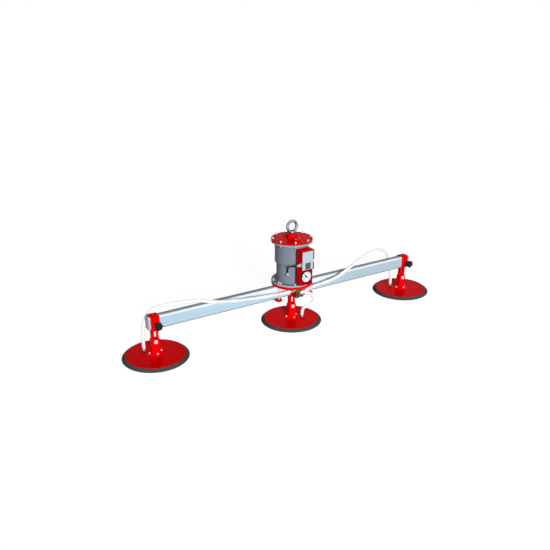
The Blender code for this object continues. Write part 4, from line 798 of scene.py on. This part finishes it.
def build_cup(side):
    """One suction cup with its bracket, bolts and nipple."""
    disc, seal = measure(f"{side}_cup_disc"), measure(f"{side}_cup_seal")
    x, radius, top = disc.x, disc.width / 2, disc.high.z
    plate = [
        (0, disc.low.z), *mm([(-1, 0), (0, 1)], radius, disc.low.z),
        *mm([(0, -1.6), (-0.5, -0.5), (-1.6, 0), (-2.4, 0)], radius, top), (0, top),
    ]
    add(f"{side}_disc_plate", moved(revolve(plate, 160), at(x)), "red", f"{side}_cup_disc",
        f"{side}_cup", sharp=50)
    outer, seat = seal.width / 2, radius + 0.3 * MM
    inner, first = outer - 50 * MM, seat + 3.4 * MM
    floor, crest = top - 8.3 * MM, seal.high.z + 0.2 * MM
    slope = [(first, crest - 0.5 * MM)]
    for start in (0.22, 0.48, 0.74):
        for share, sink in ((start, 0), (start + 0.04, 0.9 * MM), (start + 0.10, 0.9 * MM),
                            (start + 0.14, 0)):
            level = crest - 0.5 * MM - (crest - 4.4 * MM) * share ** 1.15
            slope.append((first + (outer - first) * share, level - sink))
    profile = [
        (inner, floor), (inner, floor / 2), (inner + 8 * MM, 0),
        *mm([(-3.5, 0), (-1.2, 0.8), (0, 2.6), (-0.5, 4)], outer), *slope[::-1],
        *mm([(1.7, 0), (0.5, -0.4), (0, -1.4)], seat, crest), (seat, floor),
    ]
    add(f"{side}_seal_ring", moved(revolve(profile, 160), at(x)), "rubber", f"{side}_cup_seal",
        f"{side}_cup", sharp=40)
    build_bracket(side, x)
    build_nipple(side)


def build_bracket(side, x):
    """The foot of a cup, the channel welded on it, the nuts and the cross bolt."""
    body = f"{side}_cup"
    low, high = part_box(f"{side}_cup_bracket")
    rise, thickness, wall, chamfer, seam = high.z - low.z, 8 * MM, 3.5 * MM, 8 * MM, 3 * MM
    inside = (45 * MM, 27 * MM)
    width, depth = inside[0] + 2 * wall, inside[1] + 2 * wall
    half = width / 2
    foot = moved(extrude(rectangle(80 * MM, 80 * MM, 3 * MM, 4), thickness), at(x, 0, low.z) @ turned(45))
    face = [
        (-half, thickness / 2), (half, thickness / 2), (half, rise - chamfer),
        (half - chamfer / 2, rise), (-half + chamfer / 2, rise), (-half, rise - chamfer),
    ]
    channel = moved(extrude(face, depth), facing_front(x, depth / 2, low.z))
    hollow = moved(extrude(rectangle(*inside, MM, 3), 2 * rise), at(x, 0, low.z + thickness))
    bolt_z = measure(f"{side}_cross_bolt").z
    hole = pin(12.6 * MM, 0, 2 * depth, 40, x, depth, bolt_z)
    add(f"{side}_bracket_body", foot, "red", f"{side}_cup_bracket", body, welds=[channel],
        cuts=[hollow, hole], bevel=EDGE)
    bead = []
    for grow, height in ((2 * seam, 0), (0.8 * seam, 0.6 * seam), (0, seam)):
        outline = rectangle(width + grow - 0.2 * MM, depth + grow - 0.2 * MM, max(grow / 2, 0.2 * MM), 3)
        bead.append([(px, py, thickness + height) for px, py in outline])
    hollow = moved(extrude(rectangle(*inside), 2 * rise), at(x, 0, low.z + thickness / 2))
    add(f"{side}_bracket_weld", moved(loft(bead), at(x, 0, low.z)), "red", body=body, cuts=[hollow],
        sharp=60)
    fasteners = []
    for px, py in circle(4, 37 * MM, 0):
        fasteners += stack(at(x + px, py, low.z + thickness), 10, 5.5, stud=6)
    add(f"{side}_foot_nuts", joined(fasteners), "zinc", body=body)

    grip = depth / 2 + 0.3 * MM
    parts = [pin(12 * MM, -grip - 2 * MM, grip + 2 * MM, 40, x, 0, bolt_z)]
    for angle in (-90, 90):
        place = at(x, 0, bolt_z) @ turned(angle, "X")
        washer = revolve(mm([(0, 0), (12, 0), (12, 1.6), (11.6, 2), (0, 2)], 0, grip), 48)
        parts += [moved(washer, place), moved(nut(19 * MM, grip + 2 * MM, grip + 7 * MM), place)]
    add(f"{side}_cross_bolt_set", joined(parts), "zinc", f"{side}_cross_bolt", body)


def build_nipple(side):
    """The hose nipple: dark hexagon on the plate and a ribbed stem."""
    box = measure(f"{side}_hose_nipple")
    place, low, high = at(box.x, box.y), box.low.z, box.high.z
    add(f"{side}_nipple_base", moved(nut(27 * MM, low, low + 6 * MM), place), "black",
        body=f"{side}_cup")
    stem = [(0, low + 5 * MM), (6.4 * MM, low + 5 * MM)]
    stem += ribs(low + 7 * MM, high - 3 * MM, 4.4, 0.6, 4)
    stem += [(5.6 * MM, high), (0, high)]
    add(f"{side}_nipple_stem", moved(revolve(stem, 40), place), "tan", f"{side}_hose_nipple",
        f"{side}_cup")


def ribs(start, end, pitch, crest, valley):
    """The ribs of a hose stem between two heights; their own measures are in millimetres."""
    points = []
    while start < end:
        points += mm([(6.4, 0), (7.5, crest), (6.6, valley)], 0, start)
        start += pitch * MM
    return points


def build_valve_box():
    """The folded housing with its lip and notch, and sheets of darker red on its front as painted shade.
    """
    low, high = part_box("valve_housing")
    plate, gauge = measure("valve_front_plate"), measure("gauge_case")
    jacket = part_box("cylinder_jacket")[1].x + 0.3 * MM
    back, lower_front, upper_front = 125 * MM, 170 * MM, 187 * MM
    wall, half = 3 * MM, high.x
    bottom, top, step = low.z, high.z, low.z + 102 * MM
    upright = Matrix(((0, 0, 1, 0), (1, 0, 0, 0), (0, 1, 0, 0), (0, 0, 0, 1)))
    outline = mm([(-125, 0), (-179, 0), (-179, 3), (-170, 3), (-170, 102), (-187, 102)], 0, bottom)
    outline += mm([(-187, 0), (-125, 0)], 0, top)
    inside = mm([(-128, 3), (-167, 3), (-167, 105), (-184, 105)], 0, bottom)
    inside += mm([(-184, -3), (-128, -3)], 0, top)
    saddle = sheet(50 * MM, 84 * MM, back + wall / 2 - jacket * 0.66, 0, -jacket * 0.66, top - 63 * MM)
    notch_depth = 10.5 * MM
    add("valve_housing_shell", moved(extrude(outline, 2 * half), at(-half) @ upright), "red",
        "valve_housing", welds=[saddle], bevel=0.9 * MM, cuts=[
            rod(2 * jacket, bottom - MM, top + MM, 144),
            moved(extrude(inside, 2 * (half - wall)), at(wall - half) @ upright),
            sheet(plate.width - 18 * MM, plate.height - 18 * MM, 3 * wall, plate.x,
                  -upper_front + 2 * wall, plate.z),
            sheet(2 * notch_depth, 17 * MM, 2 * notch_depth, half, -upper_front + notch_depth,
                  step + 54.5 * MM),
            pin(13.6 * MM, 0, 2 * (upper_front - back), 40, gauge.x, -back - 9 * MM, gauge.z),
        ])
    # A sheet of darker red on the lower front round the gauge, painted shade of the recess under the step
    inset = 0.4 * MM
    left, right, corner_left = inset - half, half - inset, -36 * MM
    low_edge, high_edge, corner_top = bottom + wall + inset, step - inset, gauge.z - 22 * MM
    lower = moved(
        extrude([(right, low_edge), (right, high_edge), (left, high_edge), (left, corner_top),
                 (corner_left, corner_top), (corner_left, low_edge)], 0.25 * MM),
        facing_front(0, 0.1 * MM - lower_front, 0),
    )
    add("housing_shade_panel", lower, "shaded",
        cuts=[pin(16 * MM, 0, 10 * MM, 40, gauge.x, 5 * MM - lower_front, gauge.z)])
    # Thin sheets of darker red round the front panel, painted shade on the upper front
    notch_low, notch_high = step + 46 * MM - inset, step + 63 * MM + inset
    side, edges = plate.high.x, []
    for x0, x1, z0, z1 in (
        (side, right, step + inset, notch_low), (side, right, notch_high, top - inset),
        (left, side, step + inset, plate.low.z), (left, side, plate.high.z, top - inset),
        (side, half - notch_depth, notch_low, notch_high),
    ):
        edges.append(sheet(x1 - x0, z1 - z0, 0.2 * MM, (x0 + x1) / 2, 0.1 * MM - upper_front,
                           (z0 + z1) / 2))
    add("housing_front_edge_shade", joined(edges), "trim")


def build_front_panel():
    """The panel of the valve box with its vent, the mesh behind it and the screws."""
    plate = measure("valve_front_plate")
    front = plate.high.y
    width, height, bar, columns, rows, wires = 34 * MM, 38 * MM, 2.5 * MM, 3, 4, 11
    vent_x, vent_z = plate.high.x - 20 * MM - width / 2, plate.low.z + 4.5 * MM + height / 2
    cell_width, cell_height = (width - (columns - 1) * bar) / columns, (height - (rows - 1) * bar) / rows
    cells = []
    for column in range(columns):
        for row in range(rows):
            cells.append(sheet(
                cell_width, cell_height, 6 * MM,
                vent_x + (column - (columns - 1) / 2) * (cell_width + bar), front + 2 * MM,
                vent_z + (row - (rows - 1) / 2) * (cell_height + bar), 0.8 * MM, 3))
    panel = sheet(plate.width, plate.height, 2 * MM, plate.x, front, plate.z, 2 * MM, 4)
    add("front_panel", panel, "plate", "valve_front_plate", cuts=cells, bevel=0.4 * MM)
    grille = []
    for column in range(columns + 1):
        x = vent_x - width / 2 + column * (cell_width + bar) - bar / 2
        grille.append(sheet(bar, height + bar, 0.3 * MM, x, front - 2 * MM, vent_z))
    for row in range(rows + 1):
        z = vent_z - height / 2 + row * (cell_height + bar) - bar / 2
        grille.append(sheet(width + bar, bar, 0.25 * MM, vent_x, front - 2 * MM, z))
    add("vent_bars", joined(grille), "grille")
    backing = [sheet(width + MM, height + MM, 0.4 * MM, vent_x, front - 0.1 * MM, vent_z)]
    for index in range(wires):
        share = index / (wires - 1) - 0.5
        backing.append(moved(rod(0.7 * MM, 0, height, 8), at(
            vent_x + share * (width - MM), front - 0.7 * MM, vent_z - height / 2)))
        backing.append(moved(rod(0.7 * MM, 0, width, 8), facing_side(
            vent_x - width / 2, front - 0.6 * MM, vent_z + share * (height - MM))))
    add("vent_mesh", joined(backing), "vent")
    screws = []
    for x, z in rectangle(plate.width - 10 * MM, plate.height - 10 * MM):
        head = revolve(mm([(0, 0), (2.6, 0), (2.2, 1.2), (0.9, 1.5), (0.9, 0.7), (0, 0.7)]), 24)
        screws.append(moved(head, facing_front(plate.x + x, front - 2 * MM, plate.z + z)))
    add("front_panel_screws", joined(screws), "zinc")


def text_mesh(words, size, place):
    """A short number as a thin mesh."""
    font = bpy.data.curves.new("numeral", "FONT")
    font.body = words
    font.size = size
    font.extrude = 0.05 * MM
    font.align_x = "CENTER"
    font.align_y = "CENTER"
    helper = new_object("numeral", font)
    data = evaluated_mesh(helper)
    mesh = bmesh.new()
    mesh.from_mesh(data)
    bmesh.ops.remove_doubles(mesh, verts=mesh.verts, dist=1e-6)
    bpy.data.objects.remove(helper)
    bpy.data.meshes.remove(data)
    return moved(mesh, place)


def build_gauge():
    """Bezel, dial with its scale, needle and glass."""
    box, dial = measure("gauge_case"), measure("gauge_dial")
    x, z, radius, front, back = box.x, box.z, box.width / 2, box.low.y, -170.3 * MM
    deep, flare = back - front, radius + 4 * MM
    inner = radius - 1.8 * MM
    case = [
        *mm([(0, -14), (6.5, -14), (6.5, 0)]), (flare, 0), (flare, 3 * MM), (radius, 3.6 * MM),
        *mm([(0, -1.2), (-0.4, -0.4), (-1.2, 0)], radius, deep),
        *mm([(0.3, 0), (0, -0.3), (0, -4.5)], inner, deep), (0, deep - 4.5 * MM),
    ]
    add("gauge_case_ring", moved(revolve(case), facing_front(x, back, z)), "black", "gauge_case")
    clear = 2 * (inner - 0.3 * MM)
    add("gauge_dial_face", pin(clear, 0, dial.depth, 96, x, dial.high.y, z), "white", "gauge_dial")
    face_y = dial.low.y
    face = facing_front(x, face_y, z)
    marks = []
    start, sweep, count = -45, 270, 20
    for index in range(count + 1):
        angle = start + sweep * index / count
        long_mark = index % 4 == 0
        length, thick = (5 * MM, 1.5 * MM) if long_mark else (2.6 * MM, 0.7 * MM)
        mark = extrude(rectangle(length, thick), 0.1 * MM)
        marks.append(moved(mark, face @ turned(angle) @ at(inner - 2 * MM - length / 2)))
        if long_mark:
            reach, angle = inner - 11.5 * MM, radians(angle)
            number = face @ at(reach * cos(angle), reach * sin(angle))
            marks.append(text_mesh(str(index * 5), 8 * MM, number))
    add("gauge_scale", joined(marks), "ink")
    rise = face_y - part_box("gauge_needle")[0].y
    hub = moved(revolve([(0, 0), (5 * MM, 0), (5 * MM, rise - 0.4 * MM), (4.4 * MM, rise), (0, rise)],
                        40), face @ at(0, 0, 0.3 * MM))
    pointer = moved(extrude(mm([
        (-8, -3.4), (0, -4), (20, -2.4), (23, 0), (20, 2.4), (0, 4), (-8, 3.4)]), 0.7 * MM),
        face @ turned(135) @ at(0, 0, 0.6 * MM))
    add("gauge_pointer", joined([hub, pointer]), "ink", "gauge_needle", "needle")
    add("gauge_lens", pin(clear, 0, 0.6 * MM, 96, x, front + 1.4 * MM, z), "glass")


def build_pilot_fittings():
    """The push-in fitting on the valve box and the elbow on the barrel."""
    box = measure("valve_fitting")
    base = revolve(mm([(0, 0), (15, 0), (15, 2.4), (14.4, 3), (0, 3)]), 48)
    place = facing_side(box.high.x, box.y, box.z, 180)
    add("valve_fitting_base", moved(base, place), "dull")
    profile = mm([
        (0, 2), (9, 2), (9, 9), (8, 9.6), (8, 20), (7.6, 20.6), (7.6, 22), (8, 22.6), (8, 26), (6.5, 27),
    ]) + [(6.5 * MM, box.width), (0, box.width)]
    add("valve_fitting_body", moved(revolve(profile, 48), place), "fitting", "valve_fitting")
    outward, height, radius = turned(223.4), 365.4 * MM, BARREL_DIAMETER / 2
    stem = moved(rod(13 * MM, -MM, 15 * MM, 40),
                 outward @ at(radius, 0, height) @ turned(90, "Y"))
    body = revolve(mm([
        (0, -9), (7.5, -9), (8.5, -8), (8.5, 5), (8, 5.6), (8, 6.6), (8.5, 7.2), (8.5, 8.4), (7.9, 9),
        (0, 9)]), 48)
    add("barrel_elbow_body", moved(body, outward @ at(radius + 11.05 * MM, 0, height)), "fitting",
        "barrel_elbow", welds=[stem])


def build_clamps():
    """Clamp plates under the beam with their threaded rods and nuts."""
    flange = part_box("lower_flange")[1].z
    for side in ("left", "right"):
        box = measure(f"clamp_plate_{side}")
        outline = rectangle(box.width, box.depth, box.width * 0.45, 10)
        plate = moved(extrude(outline, box.height), at(box.x, 0, box.low.z))
        add(f"clamp_bar_{side}", plate, "red", f"clamp_plate_{side}", bevel=EDGE)
        parts = []
        for end in ("front", "rear"):
            name = f"{side}_{end}"
            rod_box = measure(f"clamp_rod_{name}")
            bar = thread(10 * MM, 1.5 * MM, rod_box.low.z, rod_box.high.z, 24)
            add(f"clamp_stud_{name}", moved(bar, at(box.x, rod_box.y)), "bright", f"clamp_rod_{name}")
            parts += stack(at(box.x, rod_box.y, flange), 11, 6)
            parts += stack(facing_down(box.x, rod_box.y, box.low.z), 14, 7, 16)
        add(f"clamp_nuts_{side}", joined(parts), "zinc")


def barb(start, hexagon, length):
    """A hose barb along Z: hexagon, then ribs, measured from the manifold's axis."""
    end = start + length
    stem = [(0, start + hexagon / 2), (6.4 * MM, start + hexagon / 2)]
    stem += ribs(start + hexagon + 0.6 * MM, end - 3.4 * MM, 3.8, 0.5, 3.4)
    stem += [(6.2 * MM, end), (0, end)]
    return joined([nut(20 * MM, start, start + hexagon), revolve(stem, 40)])


def build_manifold():
    """Brass manifold with its three barbs."""
    low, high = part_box("manifold")
    x, y, top = low.x + 25 * MM, measure("manifold").y, high.z
    middle = [(0, -70), (14.4, -70), (15, -69), (15, -14), (0, -14)]
    upright, arm = at(x, y), facing_side(x, y, top - 66 * MM)
    add("manifold_body", joined([
        moved(nut(50 * MM, top - 32 * MM, top), upright),
        moved(revolve(mm(middle, 0, top), 56), upright),
        moved(nut(27 * MM, low.z, top - 68 * MM), upright),
        moved(rod(24 * MM, 0, 38 * MM), arm), moved(nut(28 * MM, 29 * MM, 41 * MM), arm),
    ]), "brass", "manifold")
    # Millimetres down from the top, degrees round, then the start, the hexagon and the length
    for name, drop, turn, *lengths in (
        ("left", 27, 180, 25.3, 9, 29), ("right", 43.5, -30, 15.3, 3, 6), ("middle", 66, 0, 41.3, 5, 17),
    ):
        place = facing_side(x, y, top - drop * MM, turn)
        add(f"barb_{name}", moved(barb(*[length * MM for length in lengths]), place), "tan",
            f"manifold_barb_{name}")


def finish_hidden_nodes():
    """Finishes for the inner pieces that keep their own solids."""
    for node, finish in (("piston", "zinc"), ("piston_seal", "rubber"), ("valve_block", "block")):
        dress(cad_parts[node], finish)


def seen_directly(tree):
    """1 for camera, glossy and transmission rays, 0 for light."""
    path = tree.nodes.new("ShaderNodeLightPath").outputs
    first = put(tree, "ShaderNodeMath", {0: path["Is Camera Ray"], 1: path["Is Glossy Ray"]}, 0,
                "MAXIMUM")
    return put(tree, "ShaderNodeMath", {0: first, 1: path["Is Transmission Ray"]}, 0, "MAXIMUM")


def make_world():
    """White to the camera and in reflections, softer as light on the object."""
    world = bpy.data.worlds.new("studio")
    world.use_nodes = True
    bpy.context.scene.world = world
    tree = world.node_tree
    soft = tree.nodes["Background"]
    feed(tree, soft, {"Color": (0.96, 0.98, 1.0, 1), "Strength": AMBIENT})
    white = put(tree, "ShaderNodeBackground", {"Color": (1, 1, 1, 1), "Strength": 1})
    feed(tree, tree.nodes["World Output"], {"Surface": put(tree, "ShaderNodeMixShader", {
        0: seen_directly(tree), 1: soft.outputs[0], 2: white})})


def make_floor():
    """A pale floor, white to the camera apart from the object's soft shadow."""
    mesh = bmesh.new()
    bmesh.ops.create_grid(mesh, x_segments=1, y_segments=1, size=12)
    floor = link("floor", mesh)
    floor.location.z = -0.5 * MM
    material = bpy.data.materials.new("floor")
    material.use_nodes = True
    tree = material.node_tree
    tree.nodes.remove(tree.nodes["Principled BSDF"])
    glow = put(tree, "ShaderNodeEmission", {"Strength": 0.96})
    matt = put(tree, "ShaderNodeBsdfDiffuse", {"Color": (0.12, 0.12, 0.12, 1)})
    both = put(tree, "ShaderNodeAddShader", {0: glow, 1: matt})
    pale = put(tree, "ShaderNodeBsdfDiffuse", {"Color": (0.36, 0.36, 0.36, 1)})
    feed(tree, tree.nodes["Material Output"], {"Surface": put(tree, "ShaderNodeMixShader", {
        0: seen_directly(tree), 1: pale, 2: both})})
    floor.data.materials.append(material)


def make_lights():
    """A soft key from the front, low, as on the photograph, and a fill for the far side."""
    for name, strength, azimuth, elevation, angle in LIGHTS:
        data = bpy.data.lights.new(name, "SUN")
        data.energy = strength
        data.angle = radians(angle)
        light = new_object(name, data)
        azimuth, elevation = radians(azimuth), radians(elevation)
        towards = Vector((
            sin(azimuth) * cos(elevation), -cos(azimuth) * cos(elevation), sin(elevation)
        ))
        light.rotation_euler = (-towards).to_track_quat("-Z", "Y").to_euler()
        light.visible_glossy = False
        light.visible_transmission = name == "key"


FINISHES = make_finishes()
make_camera()
build_hoses()
build_cylinder()
build_guide()
build_lifting_rod()
build_beam()
build_holders()
for cup_side in ("left", "middle", "right"):
    build_cup(cup_side)
build_valve_box()
build_front_panel()
build_gauge()
build_pilot_fittings()
build_clamps()
build_manifold()
finish_hidden_nodes()
make_world()
make_floor()
make_lights()
bpy.context.scene.view_settings.view_transform = "Standard"
